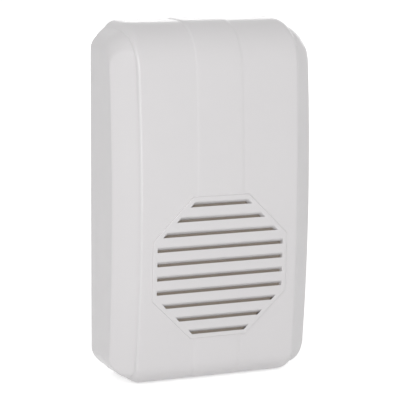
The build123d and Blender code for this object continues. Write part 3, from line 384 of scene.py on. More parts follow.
# which CAD nodes wear which material, also those that a finer mesh replaces
nodeMaterials = {
    "plate": "back_plate", "door": "battery_door", "zinc": "case_screws clamp_screws board_screws",
    "sleeve": "battery_cells", "nickel": "lead_contacts link_contacts contact_springs",
    "basket": "speaker_frame", "steel": "speaker_top_plate speaker_yoke clamp_strips",
    "ferrite": "speaker_magnet", "copper": "voice_coil aerial_coil", "paper": "speaker_cone dust_cap",
    "laminate": "terminal_board", "tin": "terminal_tags", "board": "main_board",
    "chip": "sound_chip amplifier_chip radio_chip", "can": "crystal tuning_coil",
    "canSleeve": "capacitors", "smallPart": "small_parts", "radio": "radio_board", "gold": "radio_pins",
    "switch": "volume_switch_body tune_switch_body", "lever": "volume_lever tune_plunger",
    "control": "volume_slider tune_button", "cover": "front_cover", "cloth": "grille_cloth",
    "foam": "speaker_gasket", "spider": "speaker_spider", "rubber": "speaker_surround",
    "redLead": "battery_leads speaker_leads",
}
# edges that turn by more than these degrees are drawn sharp
sharpAngles = {"node": 28, "shell": 30, "pad": 34, "fittings": 34, "cloth": 40, "lead": 40, "ring": 50}
for key, names in nodeMaterials.items():
    for name in names.split():
        dressMesh(nodes[name].data, key, sharpAngles["node"])


# ---- front cover ----

cover = {
    "halfWidth": 44.5, "depth": 35.0, "wall": 2.2,
    "bodyHigh": 149.65, "bodyReach": 34.3, "topRadius": 20.0, "bottomRadius": 10.0,
    "crownRadius": 590.0, "crownHeight": 77.7, "frontHalf": 35.5, "backHalf": 38.5,
    "cornerAcross": 4.5, "cornerDown": 3.3, "cornerForm": 1.5, "cornerDrop": 10.0, "edgeRadius": 1.0,
    "flankLow": 2.5, "flankHigh": 146.85, "flankReach": 33.5, "flankTopRadius": 18.5,
    "flankBottomRadius": 8.5, "slopeFoot": 34.8, "slopeDistance": 25.2, "slopeBulge": 0.15,
    "flankCorner": 8.0, "flankForm": 1.6, "flankAim": (15.0, 19.0), "flankBack": 3.0, "flankReachMost": 16.0,
    "bandHalf": 10.0, "bandRise": 0.35, "bandFrontRise": 0.16, "bandEdge": 1.3,
    "bandFade": 1.05, "bandTurn": 0.15,
    "rows": (8, 34, 100, 28, 12), "columns": (6, 8, 14, 16), "softColumns": (26, 46),
    "softEdge": 0.6, "softFoot": 2.2, "softRim": 1.3,
    "footBefore": 2.2, "footRun": 5.0, "rimBefore": 4.7, "rimRun": 0.7, "edgeLead": 1.5, "cornerFade": 1.3,
}
crownCentre = cover["bodyReach"] - cover["crownRadius"]


def sideShape(low, high, reach, topRadius, bottomRadius):
    # crowned side view as arcs: centres, radii and the angles where they meet
    crown = reach - crownCentre
    shape = {"low": low, "high": high, "crown": crown, "topRadius": topRadius, "bottomRadius": bottomRadius}
    for label, level, radius in (("top", high - topRadius, topRadius),
                                 ("bottom", low + bottomRadius, bottomRadius)):
        rise = level - cover["crownHeight"]
        distance = crownCentre + math.sqrt((crown - radius) ** 2 - rise ** 2)
        shape[label] = (distance, level)
        shape[label + "Angle"] = math.atan2(rise, distance - crownCentre)
    return shape


def sidePath(shape):
    # points and outward normals along the side view, from the upper back to the lower back
    counts = cover["rows"]
    points, normals = [], []

    def addArc(centre, radius, first, last, count, skip):
        for turn in range(skip, count + 1):
            angle = first + (last - first) * turn / count
            normal = (math.cos(angle), math.sin(angle))
            points.append((centre[0] + radius * normal[0], centre[1] + radius * normal[1]))
            normals.append(normal)

    top, bottom = shape["top"], shape["bottom"]
    for turn in range(counts[0]):
        points.append((top[0] * turn / counts[0], shape["high"]))
        normals.append((0.0, 1.0))
    addArc(top, shape["topRadius"], math.pi / 2, shape["topAngle"], counts[1], 0)
    addArc((crownCentre, cover["crownHeight"]), shape["crown"], shape["topAngle"], shape["bottomAngle"],
           counts[2], 1)
    addArc(bottom, shape["bottomRadius"], shape["bottomAngle"], -math.pi / 2, counts[3], 1)
    for turn in range(1, counts[4] + 1):
        points.append((bottom[0] * (1 - turn / counts[4]), shape["low"]))
        normals.append((0.0, -1.0))
    return np.array(points), np.array(normals)


def insideDepth(shape, d, z):
    # how deep a point of the side view lies inside the shape
    rho = np.hypot(d - crownCentre, z - cover["crownHeight"])
    depth = np.minimum(np.minimum(shape["high"] - z, z - shape["low"]), shape["crown"] - rho)
    for label, sign in (("top", 1), ("bottom", -1)):
        centre = shape[label]
        angle = np.arctan2(sign * (z - centre[1]), d - centre[0])
        inCorner = (angle > sign * shape[label + "Angle"]) & (angle < math.pi / 2)
        away = shape[label + "Radius"] - np.hypot(d - centre[0], z - centre[1])
        depth = np.where(inCorner, away, depth)
    return depth


def slopeReach(x, inset):
    # distance of the bowed slope of the flank, at the crown's height
    foot = np.array((cover["slopeFoot"], cover["flankReach"]))
    rim = np.array((cover["halfWidth"], cover["slopeDistance"]))
    chord = rim - foot
    run = math.hypot(*chord)
    radius = (run * run / 4 + cover["slopeBulge"] ** 2) / (2 * cover["slopeBulge"])
    inward = np.array((chord[1], -chord[0])) / run
    centre = (foot + rim) / 2 + inward * (radius - cover["slopeBulge"])
    return centre[1] + np.sqrt(np.maximum((radius - inset) ** 2 - (x - centre[0]) ** 2, 0))


def bodyHalf(d, inset):
    slope = (cover["backHalf"] - cover["frontHalf"]) / cover["bodyReach"]
    return cover["backHalf"] - inset - slope * d


def eased(share):
    return share * share * (3 - 2 * share)


def flankRows(shape, inset):
    # for each row of the side path, the flank from the main body's wall out to the side wall
    points, normals = sidePath(shape)
    counts = cover["rows"]
    second = counts[0] + counts[1]
    third = second + counts[2]
    anchor = np.array((cover["flankAim"][0], cover["flankAim"][1] + inset))
    toward = -normals
    aimFrom = 0.55          # the crown's rows start to turn towards the anchor from this share on
    for row in range(second, len(points)):
        share = eased(min(1.0, max(0.0, ((row - second) / counts[2] - aimFrom) / (1 - aimFrom))))
        aim = anchor
        if row > third + counts[3]:
            aim = np.array((anchor[0] * points[row][0] / shape["bottom"][0], anchor[1]))
        way = aim - points[row]
        way = way / np.linalg.norm(way)
        mixed = (1 - share) * -normals[row] + share * way
        toward[row] = mixed / np.linalg.norm(mixed)
    wide = cover["halfWidth"] - inset
    corner = cover["flankCorner"] - inset
    halvings, samples, pastRows, pastStep = 40, 72, 8, 0.15
    start = points - toward * cover["flankBack"]

    def solve(xOf):
        low = np.zeros(len(points))
        high = np.full(len(points), cover["flankReachMost"])
        for _ in range(halvings):
            middle = (low + high) / 2
            at = start + toward * middle[:, None]
            x = xOf(at[:, 0])
            over = np.clip((x - (wide - corner)) / corner, 0, 1) ** cover["flankForm"]
            rounding = corner * (1 - (1 - over) ** (1 / cover["flankForm"]))
            rho = np.hypot(at[:, 0] - crownCentre, at[:, 1] - cover["crownHeight"])
            room = np.minimum(insideDepth(shape, at[:, 0], at[:, 1]) - rounding,
                              slopeReach(x, inset) - crownCentre - rho)
            high = np.where(room >= 0, middle, high)
            low = np.where(room < 0, middle, low)
        at = start + toward * high[:, None]
        return np.column_stack((xOf(at[:, 0]), at)), high

    foot, _ = solve(lambda d: bodyHalf(d, inset))
    line = [foot]
    for turn in range(1, samples + 1):
        share = math.sin(math.pi / 2 * turn / samples)
        found, deep = solve(lambda d: foot[:, 0] + (wide - foot[:, 0]) * share)
        line.append(found)
    for turn in range(1, pastRows + 1):
        at = start + toward * (deep + pastStep * turn)[:, None]
        line.append(np.column_stack((np.full(len(points), wide), at)))
    return np.array(line).transpose(1, 0, 2)


def resampled(line, count):
    # count + 1 points, evenly spaced along a line
    along = np.concatenate(([0], np.cumsum(np.linalg.norm(np.diff(line, axis=0), axis=1))))
    even = np.linspace(0, along[-1], count + 1)
    return np.column_stack([np.interp(even, along, line[:, axis]) for axis in range(3)]), along[-1]


def softened(edge, flank):
    # rounds the corners of one row: at the body's edge, at the foot of the flank and at its rim
    edgeSteps, flankSteps, least, endShare = 60, 260, 0.001, 2.5
    steps = edgeSteps + flankSteps
    edgeLine, edgeRun = resampled(edge, edgeSteps)
    flankLine, flankRun = resampled(flank, flankSteps)
    fine = np.vstack((edgeLine, flankLine[1:]))
    along = np.concatenate((np.linspace(0, edgeRun, edgeSteps + 1),
                            edgeRun + np.linspace(0, flankRun, flankSteps + 1)[1:]))
    past = along - edgeRun
    foot = eased(np.clip((past + cover["footBefore"]) / cover["footRun"], 0, 1))
    rim = 1 / (1 + np.exp(-(past - flankRun + cover["rimBefore"]) / cover["rimRun"]))
    softness = cover["softEdge"] + (cover["softFoot"] - cover["softEdge"]) * foot
    softness = softness + (cover["softRim"] - softness) * rim
    hold = np.minimum(along, along[-1] - along)         # the two ends stay where they are
    softness = np.maximum(np.minimum(softness, hold / endShare), least)
    weight = np.exp(-0.5 * ((along[None, :] - along[:, None]) / softness[:, None]) ** 2)
    weight *= np.gradient(along)[None, :]
    smooth = weight @ fine / weight.sum(axis=1)[:, None]
    edgeCount, flankCount = cover["softColumns"]
    pick = np.concatenate((np.linspace(0, edgeSteps, edgeCount + 1),
                           np.linspace(edgeSteps, steps, flankCount + 1)[1:]))
    return np.column_stack([np.interp(pick, np.arange(steps + 1), smooth[:, axis]) for axis in range(3)])


def skinRows(inset):
    # half of the cover's skin, in rows of (x, distance, height) from the middle to the side wall
    high, low, reach = cover["bodyHigh"] - inset, inset, cover["bodyReach"] - inset
    shape = sideShape(low, high, reach, cover["topRadius"] - inset, cover["bottomRadius"] - inset)
    flank = flankRows(sideShape(
        cover["flankLow"] + inset, cover["flankHigh"] - inset, cover["flankReach"] - inset,
        cover["flankTopRadius"] - inset, cover["flankBottomRadius"] - inset), inset)
    flatCount, bandCount, frontCount, cornerCount = cover["columns"]
    bandStart = cover["bandHalf"] - cover["bandEdge"] / 2
    bandEnd = bandStart + cover["bandEdge"]
    turned = cover["bandTurn"]
    edge = cover["edgeRadius"]
    rows = []
    for row, (point, normal) in enumerate(zip(*sidePath(shape))):
        rise = cover["bandFrontRise"] * min(1.0, normal[0] * cover["bandFade"])     # fades out underneath
        if normal[1] > turned:
            rise += (cover["bandRise"] - rise) * (normal[1] - turned) / (1 - turned)
        if inset:
            rise = 0.0
        drop = min(high - point[1], point[1] - low)
        share = max(0.0, 1 - drop / cover["cornerDrop"]) ** cover["cornerFade"]
        across = edge + (max(edge, cover["cornerAcross"] - inset) - edge) * share
        down = edge + (max(edge, cover["cornerDown"] - inset) - edge) * share
        power = 2 / (2 + (cover["cornerForm"] - 2) * share)
        line = []

        def add(x, deep, fromSide=False):
            at = point - normal * deep
            half = bodyHalf(at[0], inset)
            line.append((half - x if fromSide else x, at[0], at[1]))

        for turn in range(flatCount):
            add(bandStart * turn / flatCount, -rise)
        for turn in range(bandCount + 1):
            add(bandStart + cover["bandEdge"] * turn / bandCount, -rise * (1 - eased(turn / bandCount)))
        frontEnd = bodyHalf(point[0], inset) - across - cover["edgeLead"]
        for turn in range(1, frontCount + 1):
            add(bandEnd + (frontEnd - bandEnd) * turn / frontCount, 0.0)
        plain, line = line[:-1], line[-1:]      # the last point begins the line that gets softened
        for sin, cos in quarter(cornerCount):
            add(across * (1 - sin ** power), down * (1 - cos ** power), True)
        line.append(tuple(flank[row][0]))
        rows.append(np.vstack((plain, softened(np.array(line), flank[row]))))
    return np.array(rows)


def skinMesh():
    # outer and inner skins, joined round the back rim, with flat side walls
    verts, faces = [], []

    def addSkin(rows):
        count = len(rows)
        left = rows[:, :0:-1].copy()
        left[:, :, 0] *= -1
        whole = np.concatenate((left, rows), axis=1)
        wide = whole.shape[1]
        index = np.arange(count * wide).reshape(count, wide) + len(verts)
        verts.extend(place(*point) for point in whole.reshape(-1, 3))
        for i in range(count - 1):
            for j in range(wide - 1):
                faces.append((index[i, j], index[i, j + 1], index[i + 1, j + 1], index[i + 1, j]))
        faces.append(tuple(index[:, 0]))
        faces.append(tuple(index[::-1, -1]))
        return index

    outer = addSkin(skinRows(0.0))
    inner = addSkin(skinRows(cover["wall"]))
    loops = [list(index[0]) + list(index[-1][::-1]) for index in (outer, inner)]
    for k, following in ringSteps(len(loops[0])):
        faces.append((loops[0][k], loops[0][following], loops[1][following], loops[1][k]))
    return verts, faces


grille = {
    "level": 49.5, "padAcross": 60.0, "padEdge": 0.35, "padThick": 2.2, "slotAcross": 56.0,
    "slotCount": 10, "slotPitch": 6.0, "slotHeight": 2.0, "lipUpper": 0.25, "lipLower": 0.08, "lipEnd": 0.12,
    "sweepDown": 1.6, "sweepIn": 1.7, "sweepForm": 1.3, "slant": 1.5, "strip": 1.2, "holeAcross": 59.2,
}
crownFace = cover["depth"] - crownCentre


def onCrown(x, deep, z):
    # a point under the pad's crowned face
    reach = crownFace - deep
    return place(x, crownCentre + math.sqrt(reach ** 2 - (z - cover["crownHeight"]) ** 2), z)


def octagon(across, centre):
    radius = across / 2 / math.cos(math.pi / 8)
    angles = [math.radians(22.5 + 45 * k) for k in range(8)]
    return [(radius * math.cos(angle), centre + radius * math.sin(angle)) for angle in angles]


def slotReach(z, more):
    # half the length of a slot's outline at a height
    away = abs(z - grille["level"])
    flat = grille["slotAcross"] / 2
    return min(flat + more, (flat + more) * math.sqrt(2) - away)


def padMesh():
    # crowned pad: octagonal rim, slots with rounded lips, through to its flat-cut back
    work = bmesh.new()

    def ring(outline, deep):
        return [work.verts.new((x, deep, z)) for x, z in outline]

    def edgesOf(loop):
        return [work.edges.get(pair) or work.edges.new(pair) for pair in zip(loop, loop[1:] + loop[:1])]

    def wall(rings):
        # joins rings one after the other; the first bounds the front, the last the back
        for one, two in zip(rings, rings[1:]):
            for k, following in ringSteps(len(one)):
                work.faces.new((one[k], one[following], two[following], two[k]))
        front.extend(edgesOf(rings[0]))
        back.extend(edgesOf(rings[-1]))

    def slotRing(level, high, low, deepHigh, deepLow, more):
        # the ends stand straight, so they take their place from the front
        upper, lower = slotReach(level + half, more), slotReach(level - half, more)
        return [work.verts.new(corner) for corner in (
            (-lower, deepLow, low), (lower, deepLow, low), (upper, deepHigh, high), (-upper, deepHigh, high))]

    steps, slotSteps, lipSteps = 6, 12, 2
    half, lip, deepest = grille["slotHeight"] / 2, grille["lipLower"], grille["padThick"]
    power = 2 / grille["sweepForm"]
    front, back, rings = [], [], []
    for sin, cos in quarter(steps):
        inset, deep = grille["padEdge"] * (1 - sin), grille["padEdge"] * (1 - cos)
        rings.append(ring(octagon(grille["padAcross"] - 2 * inset, grille["level"]), deep))
    rings.append(ring(octagon(grille["padAcross"], grille["level"]), deepest))
    wall(rings)
    firstLevel = grille["level"] - grille["slotPitch"] * (grille["slotCount"] - 1) / 2
    for slot in range(grille["slotCount"]):
        level = firstLevel + slot * grille["slotPitch"]
        loops = []
        for turn, (sin, cos) in enumerate(quarter(slotSteps)):
            # the bar above rolls inwards, the bar below has a crisp edge and a top that falls away
            high = level + half + grille["lipUpper"] - grille["sweepDown"] * sin ** power
            deepHigh = grille["sweepIn"] * (1 - cos ** power)
            deepLow = lip * min(turn, lipSteps) / lipSteps + (grille["sweepIn"] - lip) * max(
                0, turn - lipSteps) / (slotSteps - lipSteps)
            low = level - half - lip * max(0, 1 - turn / lipSteps)
            low -= grille["slant"] * deepLow / deepest
            loops.append(slotRing(level, high, low, deepHigh, deepLow, grille["lipEnd"] * (1 - sin)))
        loops.append(slotRing(level, high, level - half - grille["slant"], deepest, deepest, 0.0))
        wall(loops)
    for edges in (front, back):
        bmesh.ops.triangle_fill(work, use_beauty=True, use_dissolve=False, edges=edges,
                                normal=(0, -1, 0))
    bmesh.ops.recalc_face_normals(work, faces=work.faces)
    low = grille["level"] - grille["padAcross"] / 2
    cuts = int(grille["padAcross"] / grille["strip"])
    for turn in range(1, cuts):
        cutAll(work, (0, 0, low + turn * grille["strip"]), (0, 0, 1))
    verts = [onCrown(v.co.x, v.co.y, v.co.z) for v in work.verts]
    work.verts.index_update()
    faces = [tuple(v.index for v in face.verts) for face in work.faces]
    work.free()
    return verts, faces


def prism(outline, near, far):
    # straight prism of an outline seen from the front, between two distances
    count = len(outline)
    verts = [place(x, near, z) for x, z in outline] + [place(x, far, z) for x, z in outline]
    faces = [tuple(range(count)), tuple(range(2 * count - 1, count - 1, -1))]
    for k, following in ringSteps(count):
        faces.append((k, k + count, following + count, following))
    return verts, faces


def boxMesh(low, high):
    outline = [(low[0], low[2]), (high[0], low[2]), (high[0], high[2]), (low[0], high[2])]
    return prism(outline, low[1], high[1])


def sideRod(radius, low, high, distance, level, count=48):
    verts = [place(x, distance + radius * cos, level + radius * sin)
             for x in (low, high) for cos, sin in circle(count)]
    faces = [(k, following, following + count, k + count) for k, following in ringSteps(count)]
    faces += [tuple(range(count)), tuple(range(2 * count - 1, count - 1, -1))]
    return verts, faces


def together(parts):
    verts, faces = [], []
    for partVerts, partFaces in parts:
        first = len(verts)
        verts.extend(partVerts)
        faces.extend(tuple(first + k for k in face) for face in partFaces)
    return verts, faces


controls = {
    "distance": 17.3, "sliderLevel": 119.0, "slotHalfLength": 4.65, "slotHalfWidth": 1.75,
    "buttonLevel": 99.0, "buttonHole": 3.0, "padCut": (24.0, 40.0), "past": 1.0,
}


def cutCover(piece):
    # octagonal hole under the pad, and the two openings in the right wall
    near = cover["halfWidth"] - cover["wall"] - controls["past"]
    far = cover["halfWidth"] + controls["past"]
    distance, level = controls["distance"], controls["sliderLevel"]
    wide, long = controls["slotHalfWidth"], controls["slotHalfLength"]
    cutters = together([
        prism(octagon(grille["holeAcross"], grille["level"]), *controls["padCut"]),
        boxMesh((near, distance - wide, level - long), (far, distance + wide, level + long)),
        sideRod(controls["buttonHole"], near, far, distance, controls["buttonLevel"]),
    ])
    tool = plainObject("cutters", *cutters)
    change = piece.modifiers.new("cut", "BOOLEAN")
    change.operation = "DIFFERENCE"
    change.solver = "EXACT"
    change.object = tool
    result = evaluatedMesh(piece)
    piece.modifiers.clear()
    piece.data = result
    bpy.data.objects.remove(tool)


coverShell = plainObject("coverShell", *skinMesh())
cutCover(coverShell)
cleanMesh(coverShell.data)
dressMesh(coverShell.data, "cover", sharpAngles["shell"])
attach(coverShell, "box")
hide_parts("front_cover")
pad = meshObject("grillePad", *padMesh(), "box", "cover", sharpAngles["pad"])
stage("front cover built, %d faces" % (len(coverShell.data.polygons) + len(pad.data.polygons)))


# ---- dust cloth behind the slots ----

cloth = {"across": 57.4, "deep": 2.2, "thick": 0.3, "cells": 72}


def clothMesh():
    # octagonal woven sheet that follows the crown, with its two sides
    work = bmesh.new()
    outline = octagon(cloth["across"], grille["level"])
    work.faces.new([work.verts.new((x, 0, z)) for x, z in outline])
    across, cells = cloth["across"], cloth["cells"]
    steps = [across * turn / cells - across / 2 for turn in range(1, cells)]
    for away in steps:
        cutAll(work, (away, 0, grille["level"]), (1, 0, 0))
    for away in steps:
        cutAll(work, (0, 0, grille["level"] + away), (0, 0, 1))
    bmesh.ops.recalc_face_normals(work, faces=work.faces)
    work.verts.index_update()
    count = len(work.verts)
    verts = [onCrown(v.co.x, deep, v.co.z) for deep in (cloth["deep"], cloth["deep"] + cloth["thick"])
             for v in work.verts]
    faces = []
    for face in work.faces:
        ring = [v.index for v in face.verts]
        faces.append(tuple(ring))
        faces.append(tuple(count + k for k in reversed(ring)))
    for edge in work.edges:
        if edge.is_boundary:
            a, b = (v.index for v in edge.verts)
            faces.append((a, b, b + count, a + count))
    work.free()
    return verts, faces


dustCloth = meshObject("dustCloth", *clothMesh(), "box", "cloth", sharpAngles["cloth"])
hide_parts("grille_cloth")
stage("dust cloth laid in")


# ---- inside of the cover ----

inside = {
    "posts": ((-36.5, 13.0), (-36.5, 137.5), (36.5, 13.0), (36.5, 137.5)), "postRadius": 3.2,
    "postHole": 1.25, "postFoot": 2.0, "holeLength": 12.0, "webStart": 2.8, "webFoot": 18.6, "web": 1.2,
    "ribs": (98.0, 115.0, 132.0), "ribHalf": 31.1, "ribHigh": 1.1,
    "seat": 27.87, "rimFoot": 26.57, "rimInner": 33.3, "rimOuter": 34.7, "seatInner": 31.39,
    "rimInnerEdge": 0.3, "rimOuterEdge": 0.2, "postEdge": 0.25, "axis": 0.02,
    "clampPosts": ((0.0, 86.7), (-32.22, 30.9), (32.22, 30.9)), "clampRadius": 2.4, "clampHole": 0.9,
    "clampHoleLength": 4.0,
    "railFoot": 39.8, "railLip": 40.6, "railHalf": 9.5, "railNear": 3.35, "railFar": 4.55, "railEdge": 2.65,
    "root": 0.7, "rayGap": 0.15, "rayStart": 10.0,
}
skinTree = BVHTree.FromObject(coverShell, bpy.context.evaluated_depsgraph_get())


def innerSkin(x, z):
    # how far from the wall plane the inside of the cover's front lies
    limit = cover["halfWidth"] - cover["wall"] - inside["rayGap"]
    start = Vector(place(min(limit, max(-limit, x)), inside["rayStart"], z))
    hit = skinTree.ray_cast(start, Vector((0, -1, 0)))[0]
    crown = cover["bodyReach"] - cover["wall"] - crownCentre
    front = crownCentre + math.sqrt(crown ** 2 - (z - cover["crownHeight"]) ** 2)
    return min(front, halfDepth - hit.y / mm) if hit else front


def turnedMesh(profile, x, level, count=64, rooted=()):
    # a closed profile of (radius, distance) turned about the front-to-back line through (x, level);
    # the points named in rooted end inside the cover's skin
    verts, faces = [], []
    size = len(profile)
    for cos, sin in circle(count):
        for number, (radius, distance) in enumerate(profile):
            px, pz = x + radius * cos, level + radius * sin
            if number in rooted:
                distance = innerSkin(px, pz) + inside["root"]
            verts.append(place(px, distance, pz))
    for k, following in ringSteps(count):
        for a, b in ringSteps(size):
            faces.append((k * size + a, k * size + b, following * size + b, following * size + a))
    return verts, faces


def rootedBar(start, end, half, foot, columns=24):
    # upright or level bar between two x places; its front edge ends inside the cover's skin,
    # its foot lies "at" a distance or "above" the skin by a height
    verts, faces = [], []
    for k in range(columns + 1):
        x = start[0] + (end[0] - start[0]) * k / columns
        z = start[1] + (end[1] - start[1]) * k / columns
        near = innerSkin(x, z) - foot[1] if foot[0] == "above" else foot[1]
        for side in (-half, half):
            verts += [place(x, near, z + side), place(x, innerSkin(x, z + side) + inside["root"], z + side)]
    for k in range(columns):
        a = 4 * k
        faces += [(a, a + 4, a + 5, a + 1), (a + 2, a + 3, a + 7, a + 6), (a, a + 2, a + 6, a + 4),
                  (a + 1, a + 5, a + 7, a + 3)]
    faces += [(0, 1, 3, 2), (4 * columns, 4 * columns + 2, 4 * columns + 3, 4 * columns + 1)]
    return verts, faces


def postProfile(radius, hole, foot, holeEnd):
    edge, axis = inside["postEdge"], inside["axis"]
    return [(hole + edge, foot), (radius - edge, foot), (radius, foot + edge), (radius, 0.0), (axis, 0.0),
            (axis, holeEnd), (hole, holeEnd), (hole, foot + edge)]


def coverFittings():
    parts = []
    wallInside = cover["halfWidth"] - cover["wall"] / 2
    halfWeb = inside["web"] / 2
    for places, key, foot, length, count in (
            (inside["posts"], "post", inside["postFoot"], inside["holeLength"], 48),
            (inside["clampPosts"], "clamp", inside["rimFoot"], inside["clampHoleLength"], 40)):
        profile = postProfile(inside[key + "Radius"], inside[key + "Hole"], foot, foot + length)
        for x, level in places:
            parts.append(turnedMesh(profile, x, level, count, (3, 4)))
            if key == "post":
                side = math.copysign(1, x)
                parts.append(rootedBar((x + side * inside["webStart"], level), (side * wallInside, level),
                                       halfWeb, ("at", inside["webFoot"])))
    inner, outer, foot, seat = inside["rimInner"], inside["rimOuter"], inside["rimFoot"], inside["seat"]
    innerEdge, outerEdge = inside["rimInnerEdge"], inside["rimOuterEdge"]
    seatRing = [(inside["seatInner"], 0.0), (inside["seatInner"], seat), (inner, seat),
                (inner, foot + innerEdge), (inner + innerEdge, foot), (outer - outerEdge, foot),
                (outer, foot + outerEdge), (outer, 0.0)]
    parts.append(turnedMesh(seatRing, 0.0, grille["level"], 144, (0, 7)))
    for level in inside["ribs"]:
        parts.append(rootedBar((-inside["ribHalf"], level), (inside["ribHalf"], level), halfWeb,
                               ("above", inside["ribHigh"]), 40))
    low, high = controls["sliderLevel"] - inside["railHalf"], controls["sliderLevel"] + inside["railHalf"]
    foot, lip = inside["railFoot"], inside["railLip"]
    for side in (-1, 1):
        near, far, edge = (controls["distance"] + side * inside[key]
                           for key in ("railNear", "railFar", "railEdge"))
        parts.append(boxMesh((foot, min(near, far), low), (wallInside, max(near, far), high)))
        parts.append(boxMesh((foot, min(edge, near), low), (lip, max(edge, near), high)))
    return together(parts)


fittings = meshObject("coverFittings", *coverFittings(), "box", "cover", sharpAngles["fittings"])
stage("posts, webs, ribs, speaker seat and slider rails moulded on")


# ---- soft rings of the loudspeaker ----

speaker = {
    "seat": 27.87, "front": 27.37, "radius": 33.0, "gasketInner": 30.6, "gasketBulge": 0.12,
    "lap": 24.4, "rollStart": 25.9, "rollEnd": 29.0, "rollRise": 1.2, "rollSeam": 0.06, "surroundEdge": 30.1,
    "surroundSheet": 0.3,
    "spiderInner": 6.95, "spiderOuter": 17.2, "spiderDistance": 20.17, "spiderWave": 0.5, "spiderWaves": 3,
    "spiderSheet": 0.3, "spiderLand": 0.1,
}


def sheetProfile(line, thick):
    # a line of (radius, distance) given a thickness, closed all round
    line = np.array(line)
    way = np.gradient(line, axis=0)
    way /= np.linalg.norm(way, axis=1)[:, None]
    away = np.column_stack((-way[:, 1], way[:, 0]))
    return [tuple(point) for point in np.vstack((line, (line + away * thick)[::-1]))]


def gasketProfile():
    low, high = speaker["front"], speaker["seat"]
    inner, outer, bulge = speaker["gasketInner"], speaker["radius"], speaker["gasketBulge"]
    middle = (low + high) / 2
    return [(inner + bulge, low), (outer - bulge, low), (outer, middle), (outer - bulge, high),
            (inner + bulge, high), (inner, middle)]


def surroundProfile(onCone):
    # the roll is split at its crest: the lap half moves with the cone, the edge half stays on the frame
    base, steps = speaker["front"], 10
    start, end = speaker["rollStart"], speaker["rollEnd"]
    middle, half = (start + end) / 2, (end - start) / 2
    seam = math.asin(speaker["rollSeam"] / 2 / half)
    first, last = (math.pi, math.pi / 2 + seam) if onCone else (math.pi / 2 - seam, 0.0)
    angles = [first + (last - first) * turn / steps for turn in range(steps + 1)]
    roll = [(middle + half * math.cos(angle), base + speaker["rollRise"] * math.sin(angle))
            for angle in angles]
    lap, edge = speaker["lap"], speaker["surroundEdge"]
    line = [(lap, base), ((lap + start) / 2, base)] + roll if onCone else roll + [
        ((end + edge) / 2, base), (edge, base)]
    return sheetProfile(line, speaker["surroundSheet"])


def spiderProfile():
    inner, outer = speaker["spiderInner"], speaker["spiderOuter"]
    level, steps = speaker["spiderDistance"], 60
    land = (outer - inner) * speaker["spiderLand"]
    line = [(inner, level)]
    for turn in range(steps + 1):
        share = turn / steps
        wave = math.sin(math.pi * speaker["spiderWaves"] * share) ** 2
        line.append((inner + land + (outer - inner - 2 * land) * share,
                     level + speaker["spiderWave"] * wave))
    line.append((outer, level))
    return sheetProfile(line, speaker["spiderSheet"])


for name, profile, node, key, slotName, body in (
        ("speakerGasket", gasketProfile(), "speaker_gasket", "foam", "gasket", "box"),
        ("speakerSurround", surroundProfile(False), "speaker_surround", "rubber", "surround", "box"),
        ("speakerSurroundLap", surroundProfile(True), "speaker_surround", "rubber", "surround", "diaphragm"),
        ("speakerSpider", spiderProfile(), "speaker_spider", "spider", "spider", "box")):
    ring = meshObject(name, *turnedMesh(profile, 0.0, grille["level"], 128), body, key, sharpAngles["ring"])
    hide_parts(node)
stage("gasket, surround and spider turned")


# ---- leads ----

leads = {
    "radius": 0.55, "rise": 25.22, "pad": 22.27, "jointRadius": 1.15, "jointHigh": 1.0,
    "jointLap": 0.05, "alongSteps": 16, "roundSteps": 5,
    "battery": (("redLead", ((15.2, 19.2, 140.0), (20.0, 131.4))),
                ("blackLead", ((-15.2, 19.2, 83.9), (-22.0, 89.4)))),
    "speaker": (("redLead", ((3.8, 17.6, 76.1), (4.8, 89.0))),
                ("blackLead", ((-3.8, 17.6, 76.1), (-4.8, 89.0)))),
}


def leadMesh(start, pad):
    # round lead along one smooth line: up from the tag, over the board's edge and down to its pad
    x, _, level = start
    rise = leads["rise"]
    points = [start, (x, rise, level), (pad[0], rise, pad[1]), (pad[0], leads["pad"], pad[1])]
    curve = bpy.data.curves.new("leadLine", "CURVE")
    curve.dimensions = "3D"
    curve.resolution_u = leads["alongSteps"]
    curve.bevel_depth = leads["radius"] * mm
    curve.bevel_resolution = leads["roundSteps"]
    curve.use_fill_caps = True
    spline = curve.splines.new("NURBS")
    spline.points.add(len(points) - 1)
    for target, point in zip(spline.points, points):
        target.co = (*place(*point), 1)
    spline.order_u = 3
    spline.use_endpoint_u = True
    line = addObject("leadLine", curve)
    mesh = evaluatedMesh(line)
    built = [tuple(v.co) for v in mesh.vertices], [tuple(face.vertices) for face in mesh.polygons]
    bpy.data.objects.remove(line)
    bpy.data.meshes.remove(mesh)
    return built


def jointMesh(pad):
    # solder drawn up round the lead's end
    low, high, radius, steps = leads["pad"], leads["jointHigh"], leads["jointRadius"], 8
    inward = radius - leads["radius"] - leads["jointLap"]
    rise = [(radius - inward * sin, low + high * (1 - cos)) for sin, cos in quarter(steps)[1:]]
    return turnedMesh([(inside["axis"], low), (radius, low), *rise, (inside["axis"], low + high)], *pad, 32)


for name, node in (("batteryLeads", "battery_leads"), ("speakerLeads", "speaker_leads")):
    parts, used = [], []
    for key, (start, pad) in leads[node.split("_")[0]]:
        for part, finish in ((leadMesh(start, pad), key), (jointMesh(pad), "tin")):
            parts.append(part)
            used += [finish] * len(part[1])
    finishes = sorted(set(used))
    lead = plainObject(name, *together(parts), finishes, [finishes.index(finish) for finish in used])
    shadeMesh(lead.data, sharpAngles["lead"])
    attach(lead, "box")
    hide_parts(node)
stage("leads laid and soldered")


# ---- light, floor and camera ----

